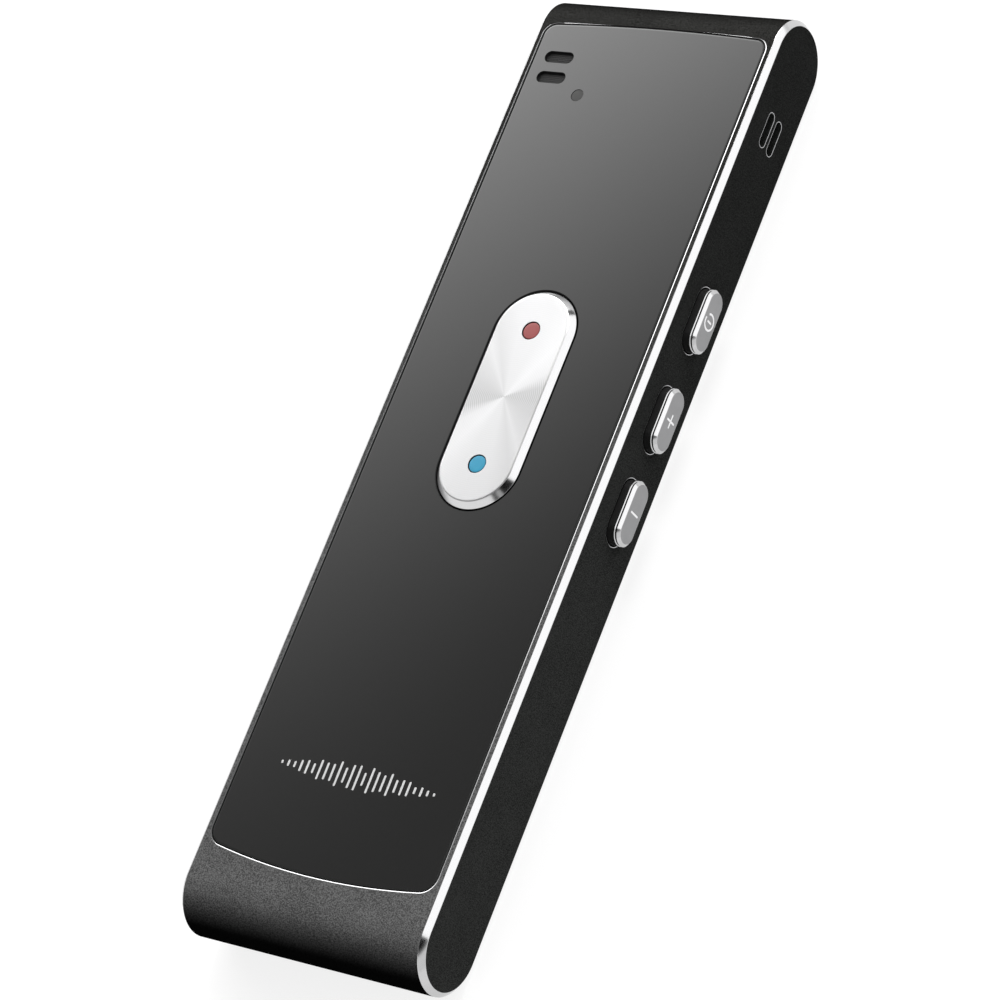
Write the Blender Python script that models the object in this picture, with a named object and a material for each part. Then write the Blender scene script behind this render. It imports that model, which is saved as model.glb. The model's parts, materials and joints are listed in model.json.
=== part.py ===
"""Handheld translator: a flat pocket device with a rocker key on its face and three side buttons.

Metres, +Z up. The device lies on its back. The origin is the middle of the rear face, +X is the
side with the three buttons, +Y is the end with the voice slots, and +Z points out of the face.
"""
import math

import bmesh
import bpy

# The body as a whole
BODY_LENGTH = 0.138
BODY_WIDTH = 0.03786
BODY_THICKNESS = 0.0123
EDGE_CHAMFER = 0.00069

# The housing's walls
SIDE_WALL = 0.00153
SHELL_WALL = 0.0019
LEDGE_WIDTH = 0.0016

# The shell's border round the opening of the face, which the glass and the rear cover fill
SIDE_BORDER = 0.00133
UPPER_BORDER = 0.00535
LOWER_BORDER = 0.0090
TOP_BULGE = 0.00055
BOTTOM_BULGE = 0.0016
TOP_CORNER = 0.0020
BOTTOM_CORNER = 0.0025
LEAST_CORNER_SHARE = 0.25

# Clearances
FACE_GAP = 0.00015
SEAT_GAP = 0.00015
GLASS_SEAT = 0.00010
COVER_SEAT = 0.00030
SLIDE_GAP = 0.00020
PIN_GAP = 0.00010
CUT_OVERRUN = 0.0010
WALL_BITE = 0.00030

# The front glass and the rear cover
GLASS_THICKNESS = 0.0009
COVER_THICKNESS = 0.0010

# The rocker key
ROCKER_Y = 0.00717
ROCKER_RADIUS = 0.00615
ROCKER_HALF_LENGTH = 0.01588
ROCKER_HEIGHT = 0.00077
ROCKER_CHAMFER = 0.00077
ROCKER_CAP_THICKNESS = 0.00162
ROCKER_TILT = math.radians(1.5)
INLAY_OFFSET = 0.00975
INLAY_RADIUS = 0.00120
INLAY_SUNK = 0.00008
CARRIER_FLANGE = 0.00110
CARRIER_FLANGE_THICKNESS = 0.00080
CARRIER_BOSS_INSET = 0.00055
CAP_GLUE_GAP = 0.00030
TILT_CLEARANCE = 0.00010
HUB_HALF_DEPTH = 0.0013
HUB_WALL = 0.00035
PIN_RADIUS = 0.00045
BRACKET_SHEET = 0.00030
BRACKET_HALF_DEPTH = 0.0024
BRACKET_EAR = 0.0012
FOOT_RADIUS = 0.0008

# The snap domes under the rocker
DOME_RADIUS = 0.0021
DOME_HEIGHT = 0.00055
DOME_SHEET = 0.00015

# The two voice slots and the status light in the glass
SLOT_FROM_TOP = 0.00578
SLOT_PITCH = 0.00317
SLOT_HALF_LENGTH = 0.00225
SLOT_RADIUS = 0.00085
STATUS_FROM_SLOT_X = 0.00523
STATUS_FROM_SLOT_Y = 0.00237
STATUS_HOLE_RADIUS = 0.00090
STATUS_FLANGE = 0.00050
STATUS_FLANGE_THICKNESS = 0.00035
STATUS_SUNK = 0.00005

# The side buttons
BUTTON_YS = {"power": 0.02455, "plus": 0.01008, "minus": -0.00322}
BUTTON_HALF_LENGTH = 0.00446
BUTTON_RADIUS = 0.00195
BUTTON_HEIGHT = 0.00175
BUTTON_CHAMFER = 0.00040
BUTTON_FLANGE = 0.00060
BUTTON_FLANGE_THICKNESS = 0.00060
BUTTON_NUB_LENGTH = 0.00050
BUTTON_NUB_RADIUS = 0.00070
BUTTON_TRAVEL = 0.00025

# The switches behind the side buttons
SWITCH_DEPTH = 0.0030
SWITCH_HALF_LENGTH = 0.0021
SWITCH_CORNER = 0.0003
PLUNGER_RADIUS = 0.00060
PLUNGER_SHOWN = 0.00070
PLUNGER_HELD = 0.00120

# The two strap slots in the side wall and the cup behind them
STRAP_FROM_END = 0.0165
STRAP_HALF_LENGTH = 0.0025
STRAP_RADIUS = 0.00075
STRAP_OFFSET = 0.00115
STRAP_CUP_DEPTH = 0.0038
STRAP_CUP_WALL = 0.00050
STRAP_CUP_MARGIN = 0.00020
STRAP_CUP_CORNER = 0.0008

# The circuit board
BOARD_THICKNESS = 0.0010
BOARD_ABOVE_MIDDLE = 0.0013
BOARD_SIDE_ROOM = 0.0018
BOARD_UPPER_ROOM = 0.0062
BOARD_LOWER_ROOM = 0.0120
BOARD_CORNER = 0.0015

# The charging socket in the upper end, of the standard reversible size
USB_HALF_WIDTH = 0.00447
USB_HALF_HEIGHT = 0.00163
USB_SHELL = 0.00030
USB_DEPTH = 0.0073
USB_BACK_WALL = 0.0007
USB_MOUTH_SUNK = 0.0007
USB_TONGUE_HALF_WIDTH = 0.0031
USB_TONGUE_HALF_HEIGHT = 0.00035
USB_TONGUE_SUNK = 0.0008
USB_TONGUE_CORNER = 0.0002

# The bosses and their screws
BOSS_FROM_WALL = 0.0028
BOSS_FROM_END = 0.0250
BOSS_HALF_WIDTH = 0.0019
SCREW_SHANK_RADIUS = 0.00070
SCREW_HEAD_RADIUS = 0.00140
SCREW_HEAD_HEIGHT = 0.00050
SCREW_LENGTH = 0.0026
SCREW_HOLE_SPARE = 0.00015
SCREW_RECESS_RADIUS = 0.00060
SCREW_RECESS_DEPTH = 0.00030
HEAD_SUNK = 0.00010
HEAD_SEAT = 0.00010

# The battery with its foam and its leads
BATTERY_SIDE_ROOM = 0.0019
BATTERY_SWITCH_ROOM = 0.0013
BATTERY_PLUG_ROOM = 0.0018
FOAM_THICKNESS = 0.00115
BATTERY_CORNER = 0.0015
FOAM_MARGIN = 0.0040
CONNECTOR_X = 0.0040
CONNECTOR_FROM_END = 0.0413
CONNECTOR_ROOM = 0.0042
CONNECTOR_HALF_WIDTH = 0.0022
CONNECTOR_HALF_DEPTH = 0.0015
CONNECTOR_HEIGHT = 0.0019
LEAD_RADIUS = 0.00035
LEAD_SPACING = 0.0016

# The speaker with its gasket, its leads and the grille over it
SPEAKER_ROOM = 0.0003
SPEAKER_SIDE_ROOM = 0.0040
SPEAKER_HALF_DEPTH = 0.0054
SPEAKER_HEIGHT = 0.0035
SPEAKER_CORNER = 0.0012
GASKET_THICKNESS = 0.0005
GASKET_RIM = 0.0012
GRILLE_RADIUS = 0.00055
GRILLE_PITCH = 0.0020
GRILLE_COLUMNS = 7
GRILLE_ROWS = 3
SPEAKER_PLUG_ROOM = 0.0029

# Small parts on the board
MICROPHONE_HALF_WIDTH = 0.00175
MICROPHONE_HALF_DEPTH = 0.00130
MICROPHONE_HEIGHT = 0.0009
BOOT_MARGIN = 0.00030
BOOT_ROOM = 0.00036
BOOT_BORE = 0.0006
LED_HALF_SIZE = 0.0008
LED_HEIGHT = 0.0006
SHIELD_HALF_DEPTH = 0.0060
SHIELD_SIDE_ROOM = 0.0046
SHIELD_HEIGHT = 0.0017
SHIELD_SHEET = 0.00025
SHIELD_CORNER = 0.0008
PROCESSOR_ROOM = 0.0020
PROCESSOR_HEIGHT = 0.0009
RADIO_ROCKER_ROOM = 0.0060
RADIO_MEMORY_ROOM = 0.0030
RADIO_HALF_WIDTH = 0.0080
RADIO_HEIGHT = 0.0018
MEMORY_FROM_END = 0.0315
MEMORY_HALF_WIDTH = 0.0050
MEMORY_HALF_DEPTH = 0.0035
MEMORY_HEIGHT = 0.0009
ANTENNA_END_ROOM = 0.0020
ANTENNA_SIDE_ROOM = 0.0036
ANTENNA_HALF_DEPTH = 0.0030
ANTENNA_HEIGHT = 0.0004
CHIP_CORNER = 0.0003

# Walls and openings worked out from the sizes above
MID_Z = BODY_THICKNESS / 2
SIDE_X = BODY_WIDTH / 2
INNER_X = SIDE_X - SIDE_WALL
END_Y = BODY_LENGTH / 2
OPENING_HALF_WIDTH = SIDE_X - SIDE_BORDER
OPENING_TOP = END_Y - UPPER_BORDER
OPENING_BOTTOM = END_Y - LOWER_BORDER
WINDOW_HALF_WIDTH = OPENING_HALF_WIDTH - LEDGE_WIDTH

# Heights worked out from the sizes above
COVER_LEDGE_Z = COVER_THICKNESS + COVER_SEAT
GLASS_BOTTOM_Z = BODY_THICKNESS - GLASS_THICKNESS
GLASS_LEDGE_Z = GLASS_BOTTOM_Z - GLASS_SEAT
BOARD_BOTTOM_Z = MID_Z + BOARD_ABOVE_MIDDLE
BOARD_TOP_Z = BOARD_BOTTOM_Z + BOARD_THICKNESS
ON_BOARD_Z = BOARD_TOP_Z + SEAT_GAP
UNDER_BOARD_Z = BOARD_BOTTOM_Z - SEAT_GAP
ON_COVER_Z = COVER_THICKNESS + SEAT_GAP
BATTERY_TOP_Z = UNDER_BOARD_Z - FOAM_THICKNESS - SEAT_GAP

# Places worked out from the sizes above
SLOT_X = SLOT_HALF_LENGTH + BOOT_ROOM - WINDOW_HALF_WIDTH
SLOT_YS = (OPENING_TOP - SLOT_FROM_TOP, OPENING_TOP - SLOT_FROM_TOP - SLOT_PITCH)
STATUS_X = SLOT_X + STATUS_FROM_SLOT_X
STATUS_Y = SLOT_YS[1] - STATUS_FROM_SLOT_Y
STRAP_Y = END_Y - STRAP_FROM_END
STRAP_CUP_HALF = STRAP_HALF_LENGTH + STRAP_CUP_MARGIN + STRAP_CUP_WALL
BOARD_HALF_WIDTH = INNER_X - BOARD_SIDE_ROOM
BOARD_TOP_Y = END_Y - BOARD_UPPER_ROOM
BOARD_BOTTOM_Y = BOARD_LOWER_ROOM - END_Y
BOSS_X = INNER_X - BOSS_FROM_WALL
BOSS_Y = END_Y - BOSS_FROM_END
ROCKER_REACH = ROCKER_HALF_LENGTH + CARRIER_FLANGE
TILT_ROOM = ROCKER_REACH * math.sin(ROCKER_TILT) + TILT_CLEARANCE
SWITCH_FACE_X = (INNER_X - SLIDE_GAP - BUTTON_FLANGE_THICKNESS - BUTTON_NUB_LENGTH - PIN_GAP
                 - PLUNGER_SHOWN)
SPEAKER_HALF_WIDTH = WINDOW_HALF_WIDTH - SPEAKER_SIDE_ROOM
SPEAKER_Y = (BOTTOM_BULGE + LEDGE_WIDTH + SPEAKER_ROOM + SPEAKER_HALF_DEPTH - OPENING_BOTTOM)
SPEAKER_PLUG_Y = SPEAKER_Y + SPEAKER_HALF_DEPTH + SPEAKER_PLUG_ROOM + CONNECTOR_HALF_DEPTH
CONNECTOR_Y = END_Y - CONNECTOR_FROM_END
BATTERY_TOP_Y = CONNECTOR_Y - CONNECTOR_HALF_DEPTH - CONNECTOR_ROOM
BATTERY_BOTTOM_Y = SPEAKER_PLUG_Y + CONNECTOR_HALF_DEPTH + BATTERY_PLUG_ROOM
BATTERY_RIGHT_X = SWITCH_FACE_X - SWITCH_DEPTH - BATTERY_SWITCH_ROOM
BATTERY_LEFT_X = BATTERY_SIDE_ROOM - INNER_X
MEMORY_Y = MEMORY_FROM_END - END_Y
ANTENNA_Y = BOARD_BOTTOM_Y + ANTENNA_END_ROOM + ANTENNA_HALF_DEPTH
ANTENNA_HALF_WIDTH = BOARD_HALF_WIDTH - ANTENNA_SIDE_ROOM
SHIELD_Y = (ROCKER_Y + ROCKER_REACH + STRAP_Y - STRAP_CUP_HALF) / 2
SHIELD_HALF_WIDTH = BOARD_HALF_WIDTH - SHIELD_SIDE_ROOM
RADIO_HIGH_Y = ROCKER_Y - ROCKER_REACH - RADIO_ROCKER_ROOM
RADIO_LOW_Y = MEMORY_Y + MEMORY_HALF_DEPTH + RADIO_MEMORY_ROOM

# Points on curves
END_STEPS = 14
STADIUM_STEPS = 10
CORNER_STEPS = 5
ARC_STEPS = 12
ROUND_STEPS = 16
GRILLE_STEPS = 10
DOME_STEPS = 4
LEAD_STEPS = 10
SHARP_ANGLE = math.radians(35)

# Colour, roughness and metallic value of each finish
FINISHES = {
    "anodised": ((0.085, 0.085, 0.088), 0.45, 0.9),
    "polished": ((0.80, 0.80, 0.82), 0.22, 1.0),
    "satin": ((0.33, 0.33, 0.34), 0.38, 1.0),
    "glass": ((0.045, 0.046, 0.046), 0.08, 0.0),
    "cover": ((0.050, 0.050, 0.052), 0.42, 0.0),
    "red": ((0.43, 0.115, 0.13), 0.40, 0.0),
    "blue": ((0.08, 0.35, 0.60), 0.40, 0.0),
    "dark_plastic": ((0.020, 0.020, 0.022), 0.55, 0.0),
    "clear_plastic": ((0.10, 0.10, 0.10), 0.15, 0.0),
    "rubber": ((0.030, 0.030, 0.030), 0.85, 0.0),
    "foam": ((0.055, 0.055, 0.060), 0.95, 0.0),
    "board": ((0.010, 0.090, 0.035), 0.40, 0.0),
    "chip": ((0.025, 0.025, 0.028), 0.35, 0.0),
    "steel": ((0.56, 0.56, 0.57), 0.30, 1.0),
    "tinned": ((0.68, 0.68, 0.69), 0.28, 1.0),
    "pouch": ((0.52, 0.53, 0.55), 0.35, 0.8),
    "ceramic": ((0.80, 0.78, 0.72), 0.50, 0.0),
    "cream_plastic": ((0.75, 0.72, 0.62), 0.45, 0.0),
    "red_wire": ((0.55, 0.03, 0.03), 0.45, 0.0),
    "black_wire": ((0.02, 0.02, 0.02), 0.45, 0.0),
}


def clear_scene():
    """Take out whatever the scene already holds."""
    for obj in list(bpy.data.objects):
        bpy.data.objects.remove(obj, do_unlink=True)


def spread(first, last, steps):
    """Evenly spaced values from first to last, both included."""
    return [first + (last - first) * i / steps for i in range(steps + 1)]


def stadium(u, v, half_length, radius, steps=STADIUM_STEPS):
    """Outline with two round ends, long along its first axis."""
    reach = max(half_length - radius, 0)
    right = [(u + reach + radius * math.cos(t), v + radius * math.sin(t))
             for t in spread(-math.pi / 2, math.pi / 2, steps)]
    left = [(u - reach + radius * math.cos(t), v + radius * math.sin(t))
            for t in spread(math.pi / 2, 3 * math.pi / 2, steps)]
    return right + left


def circle(u, v, radius, steps=ROUND_STEPS):
    """Round outline."""
    return [(u + radius * math.cos(t), v + radius * math.sin(t))
            for t in spread(0, 2 * math.pi, steps)[:-1]]


def rounded_box(u, v, half_u, half_v, corner, steps=CORNER_STEPS):
    """Rectangular outline with round corners."""
    corner = min(corner, half_u, half_v)
    points = []
    for turn, (side_u, side_v) in enumerate(((1, 1), (-1, 1), (-1, -1), (1, -1))):
        start = turn * math.pi / 2
        for t in spread(start, start + math.pi / 2, steps):
            points.append((u + side_u * (half_u - corner) + corner * math.cos(t),
                           v + side_v * (half_v - corner) + corner * math.sin(t)))
    return points


def opening_end(apex, bulge, corner, inset):
    """One end of the face opening, from its right side over its shallow arc to its left side."""
    full_arc = (OPENING_HALF_WIDTH ** 2 + bulge ** 2) / (2 * bulge)
    centre = apex - full_arc
    arc = full_arc - inset
    half = OPENING_HALF_WIDTH - inset
    fillet = max(corner - inset, corner * LEAST_CORNER_SHARE)
    rise = math.sqrt((arc - fillet) ** 2 - (half - fillet) ** 2)
    lean = math.atan2(half - fillet, rise)
    right = [(half - fillet + fillet * math.cos(t), centre + rise + fillet * math.sin(t))
             for t in spread(0, math.pi / 2 - lean, CORNER_STEPS)]
    middle = [(arc * math.sin(t), centre + arc * math.cos(t))
              for t in spread(lean, -lean, ARC_STEPS)[1:-1]]
    left = [(-x, y) for x, y in reversed(right)]
    return right + middle + left


def face_outline(inset):
    """Outline of the face opening, drawn in by the inset."""
    upper = opening_end(OPENING_TOP, TOP_BULGE, TOP_CORNER, inset)
    lower = opening_end(OPENING_BOTTOM, BOTTOM_BULGE, BOTTOM_CORNER, inset)
    return upper + [(-x, -y) for x, y in lower]


def side_outline(inset):
    """Outline of the body seen from its side, drawn in by the inset."""
    return stadium(0, MID_Z, BODY_LENGTH / 2 - inset, BODY_THICKNESS / 2 - inset, END_STEPS)


def across_x(outline, x):
    """Ring of an outline of Y and Z at one X."""
    return [(x, y, z) for y, z in outline]


def across_y(outline, y):
    """Ring of an outline of X and Z at one Y."""
    return [(x, y, z) for x, z in outline]


def across_z(outline, z):
    """Ring of an outline of X and Y at one Z."""
    return [(x, y, z) for x, y in outline]


def add_object(name, shape, origin=(0, 0, 0)):
    """Object of a closed shape, with its origin at the given point."""
    bmesh.ops.recalc_face_normals(shape, faces=shape.faces)
    bmesh.ops.translate(shape, verts=shape.verts, vec=[-value for value in origin])
    mesh = bpy.data.meshes.new(name)
    shape.to_mesh(mesh)
    shape.free()
    mesh.shade_smooth()
    mesh.set_sharp_from_angle(angle=SHARP_ANGLE)
    obj = bpy.data.objects.new(name, mesh)
    obj.location = origin
    bpy.context.scene.collection.objects.link(obj)
    return obj


def loft(name, rings, origin=(0, 0, 0)):
    """Closed solid through rings of equally many points, with a flat face at each end."""
    shape = bmesh.new()
    loops = [[shape.verts.new(point) for point in ring] for ring in rings]
    count = len(loops[0])
    for low, high in zip(loops, loops[1:]):
        for i in range(count):
            j = (i + 1) % count
            shape.faces.new((low[i], low[j], high[j], high[i]))
    shape.faces.new(loops[0][::-1])
    shape.faces.new(loops[-1])
    return add_object(name, shape, origin)


def plate(name, outline, low, high, origin=(0, 0, 0)):
    """Flat plate between two heights."""
    return loft(name, [across_z(outline, low), across_z(outline, high)], origin)


def turned(name, x, y, profile, origin=(0, 0, 0), steps=ROUND_STEPS):
    """Round solid that stands on (x, y), from its radii and heights."""
    return loft(name, [across_z(circle(x, y, radius, steps), z) for radius, z in profile], origin)


def combine(target, tool, operation):
    """Join a tool solid to the target, or cut it out of the target."""
    tool.hide_render = True
    tool.display_type = "WIRE"
    modifier = target.modifiers.new(tool.name, "BOOLEAN")
    modifier.operation = operation
    modifier.solver = "EXACT"
    modifier.object = tool


def cut(target, tool):
    combine(target, tool, "DIFFERENCE")


def join(target, tool):
    combine(target, tool, "UNION")


def finish(obj, kind):
    """Give a sub-part its own material."""
    colour, roughness, metallic = FINISHES[kind]
    material = bpy.data.materials.new(obj.name)
    material.use_nodes = True
    shader = material.node_tree.nodes["Principled BSDF"]
    shader.inputs["Base Color"].default_value = (*colour, 1)
    shader.inputs["Roughness"].default_value = roughness
    shader.inputs["Metallic"].default_value = metallic
    material.diffuse_color = (*colour, 1)
    obj.data.materials.append(material)


def boss_places():
    """The four bosses, each with the side that it stands on."""
    return [(side, end * BOSS_Y) for end in (-1, 1) for side in (-1, 1)]


def make_housing():
    """Metal shell with a pocket for the glass, one for the cover, four bosses and its holes."""
    chamfered = side_outline(EDGE_CHAMFER)
    full = side_outline(0)
    housing = loft("housing", [
        across_x(chamfered, -SIDE_X),
        across_x(full, -SIDE_X + EDGE_CHAMFER),
        across_x(full, SIDE_X - EDGE_CHAMFER),
        across_x(chamfered, SIDE_X),
    ])
    hollow = side_outline(SHELL_WALL)
    cut(housing, loft("cavity_cutter", [across_x(hollow, -INNER_X), across_x(hollow, INNER_X)]))

    above = BODY_THICKNESS + CUT_OVERRUN
    below = -CUT_OVERRUN
    pocket = face_outline(0)
    window = face_outline(LEDGE_WIDTH)
    cut(housing, plate("glass_pocket_cutter", pocket, GLASS_LEDGE_Z, above))
    cut(housing, plate("cover_pocket_cutter", pocket, below, COVER_LEDGE_Z))
    cut(housing, plate("window_cutter", window, below, above))

    boss_half = (INNER_X + WALL_BITE - BOSS_X + BOSS_HALF_WIDTH) / 2
    boss_middle = BOSS_X - BOSS_HALF_WIDTH + boss_half
    bore = SCREW_SHANK_RADIUS + SCREW_HOLE_SPARE
    for number, (side, y) in enumerate(boss_places(), 1):
        outline = rounded_box(side * boss_middle, y, boss_half, BOSS_HALF_WIDTH, EDGE_CHAMFER)
        join(housing, plate(f"boss_{number}", outline, COVER_LEDGE_Z, UNDER_BOARD_Z))
        hole = circle(side * BOSS_X, y, bore)
        depth = SCREW_LENGTH
        cut(housing, plate(f"lower_bore_cutter_{number}", hole, below, COVER_LEDGE_Z + depth))
        cut(housing, plate(f"upper_bore_cutter_{number}", hole, UNDER_BOARD_Z - depth,
                           BOARD_TOP_Z))

    outside = SIDE_X + CUT_OVERRUN
    inside = INNER_X - CUT_OVERRUN
    for key, y in BUTTON_YS.items():
        hole = stadium(y, MID_Z, BUTTON_HALF_LENGTH + SLIDE_GAP, BUTTON_RADIUS + SLIDE_GAP)
        cut(housing, loft(f"{key}_hole_cutter", [across_x(hole, inside), across_x(hole, outside)]))
    for number, side in enumerate((-1, 1), 1):
        slot = stadium(STRAP_Y, MID_Z + side * STRAP_OFFSET, STRAP_HALF_LENGTH, STRAP_RADIUS)
        cut(housing, loft(f"strap_slot_cutter_{number}", [across_x(slot, inside),
                                                         across_x(slot, outside)]))
    port = stadium(0, MID_Z, USB_HALF_WIDTH + FACE_GAP, USB_HALF_HEIGHT + FACE_GAP)
    cut(housing, loft("charging_hole_cutter", [across_y(port, END_Y - SHELL_WALL - CUT_OVERRUN),
                                              across_y(port, END_Y + CUT_OVERRUN)]))
    finish(housing, "anodised")


def make_front_panel():
    """Glass over the whole face, with openings for the rocker, the slots and the status light."""
    panel = plate("front_panel", face_outline(FACE_GAP), GLASS_BOTTOM_Z, BODY_THICKNESS)
    low = GLASS_BOTTOM_Z - CUT_OVERRUN
    high = BODY_THICKNESS + CUT_OVERRUN
    cut(panel, plate("rocker_opening_cutter", rocker_outline(-SLIDE_GAP), low, high))
    for number, y in enumerate(SLOT_YS, 1):
        slot = stadium(SLOT_X, y, SLOT_HALF_LENGTH, SLOT_RADIUS)
        cut(panel, plate(f"voice_slot_cutter_{number}", slot, low, high))
    light = circle(STATUS_X, STATUS_Y, STATUS_HOLE_RADIUS)
    cut(panel, plate("status_hole_cutter", light, low, high))
    finish(panel, "glass")


def make_rear_cover():
    """Flat cover with sunk screw seats and a grille of round holes over the speaker."""
    cover = plate("rear_cover", face_outline(FACE_GAP), 0, COVER_THICKNESS)
    above = COVER_THICKNESS + CUT_OVERRUN
    seat_z = HEAD_SUNK + SCREW_HEAD_HEIGHT + HEAD_SEAT
    for number, (side, y) in enumerate(boss_places(), 1):
        x = side * BOSS_X
        seat = circle(x, y, SCREW_HEAD_RADIUS + SCREW_HOLE_SPARE)
        hole = circle(x, y, SCREW_SHANK_RADIUS + SCREW_HOLE_SPARE)
        cut(cover, plate(f"head_seat_cutter_{number}", seat, -CUT_OVERRUN, seat_z))
        cut(cover, plate(f"cover_hole_cutter_{number}", hole, -CUT_OVERRUN, above))
    for row in range(GRILLE_ROWS):
        for column in range(GRILLE_COLUMNS):
            x = (column - (GRILLE_COLUMNS - 1) / 2) * GRILLE_PITCH
            y = SPEAKER_Y + (row - (GRILLE_ROWS - 1) / 2) * GRILLE_PITCH
            hole = circle(x, y, GRILLE_RADIUS, GRILLE_STEPS)
            cut(cover, plate(f"grille_cutter_{row}_{column}", hole, -CUT_OVERRUN, above))
    finish(cover, "cover")


def rocker_outline(inset):
    """Outline of the rocker, drawn in by the inset, long along Y."""
    shape = stadium(ROCKER_Y, 0, ROCKER_HALF_LENGTH - inset, ROCKER_RADIUS - inset)
    return [(x, y) for y, x in shape]


def make_rocker():
    """Metal cap with two coloured inlays on a plastic carrier that tilts on a cross pin."""
    cap_top = BODY_THICKNESS + ROCKER_HEIGHT
    cap_bottom = cap_top - ROCKER_CAP_THICKNESS
    flange_top = GLASS_BOTTOM_Z - TILT_ROOM
    flange_bottom = flange_top - CARRIER_FLANGE_THICKNESS
    bore = PIN_RADIUS + PIN_GAP
    pin_z = flange_top - HUB_WALL - bore
    hub_bottom = pin_z - bore - HUB_WALL
    pivot = (0, ROCKER_Y, pin_z)

    cap = loft("rocker_cap", [
        across_z(rocker_outline(0), cap_bottom),
        across_z(rocker_outline(0), cap_top - ROCKER_CHAMFER),
        across_z(rocker_outline(ROCKER_CHAMFER), cap_top),
    ], pivot)
    for side, colour in ((1, "red"), (-1, "blue")):
        y = ROCKER_Y + side * INLAY_OFFSET
        hole = circle(0, y, INLAY_RADIUS + PIN_GAP)
        cut(cap, plate(f"{colour}_hole_cutter", hole, cap_bottom - CUT_OVERRUN,
                       cap_top + CUT_OVERRUN))
        inlay = circle(0, y, INLAY_RADIUS)
        finish(plate(f"{colour}_inlay", inlay, cap_bottom, cap_top - INLAY_SUNK, pivot), colour)
    finish(cap, "polished")

    flange = rocker_outline(-CARRIER_FLANGE)
    boss = rocker_outline(CARRIER_BOSS_INSET)
    carrier = loft("rocker_carrier", [
        across_z(flange, flange_bottom),
        across_z(flange, flange_top),
        across_z(boss, flange_top),
        across_z(boss, cap_bottom - CAP_GLUE_GAP),
    ], pivot)
    hub_half = ROCKER_RADIUS + CARRIER_FLANGE - PIN_GAP
    hub = [(-hub_half, ROCKER_Y - HUB_HALF_DEPTH), (hub_half, ROCKER_Y - HUB_HALF_DEPTH),
           (hub_half, ROCKER_Y + HUB_HALF_DEPTH), (-hub_half, ROCKER_Y + HUB_HALF_DEPTH)]
    join(carrier, plate("hub_block", hub, hub_bottom, flange_top - HUB_WALL))
    foot_bottom = ON_BOARD_Z + DOME_HEIGHT + PIN_GAP
    for side, end in ((1, "upper"), (-1, "lower")):
        foot = circle(0, ROCKER_Y + side * INLAY_OFFSET, FOOT_RADIUS)
        join(carrier, plate(f"{end}_foot", foot, foot_bottom, flange_top - HUB_WALL))
    reach = hub_half + CUT_OVERRUN
    round_bore = circle(ROCKER_Y, pin_z, bore)
    cut(carrier, loft("pin_bore_cutter", [across_x(round_bore, -reach),
                                          across_x(round_bore, reach)]))
    finish(carrier, "dark_plastic")

    ear_inner = ROCKER_RADIUS + CARRIER_FLANGE + SLIDE_GAP
    ear_outer = ear_inner + BRACKET_EAR
    sheet_top = ON_BOARD_Z + BRACKET_SHEET
    ear_top = pin_z + bore + HUB_WALL
    profile = [(-ear_outer, ON_BOARD_Z), (ear_outer, ON_BOARD_Z), (ear_outer, ear_top),
               (ear_inner, ear_top), (ear_inner, sheet_top), (-ear_inner, sheet_top),
               (-ear_inner, ear_top), (-ear_outer, ear_top)]
    bracket = loft("rocker_bracket", [across_y(profile, ROCKER_Y - BRACKET_HALF_DEPTH),
                                      across_y(profile, ROCKER_Y + BRACKET_HALF_DEPTH)])
    past = ear_outer + CUT_OVERRUN
    cut(bracket, loft("ear_bore_cutter", [across_x(round_bore, -past),
                                          across_x(round_bore, past)]))
    finish(bracket, "steel")
    pin = circle(ROCKER_Y, pin_z, PIN_RADIUS)
    finish(loft("rocker_pin", [across_x(pin, -ear_outer), across_x(pin, ear_outer)]), "steel")


def dome_profile(radius, height, turns):
    """Radii and heights of a shallow dome, from its rim up to its crown."""
    return [(radius * math.cos(t), height * math.sin(t)) for t in turns]


def make_snap_domes():
    """Two thin metal domes on the board, one under each foot of the rocker."""
    up = spread(0, math.pi / 2, DOME_STEPS + 1)[:-1]
    outer = dome_profile(DOME_RADIUS, DOME_HEIGHT, up)
    inner = dome_profile(DOME_RADIUS - DOME_SHEET, DOME_HEIGHT - DOME_SHEET, up)
    profile = [(radius, ON_BOARD_Z + z) for radius, z in inner[::-1] + outer]
    for side, end in ((1, "upper"), (-1, "lower")):
        y = ROCKER_Y + side * INLAY_OFFSET
        finish(turned(f"{end}_snap_dome", 0, y, profile), "steel")


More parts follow.
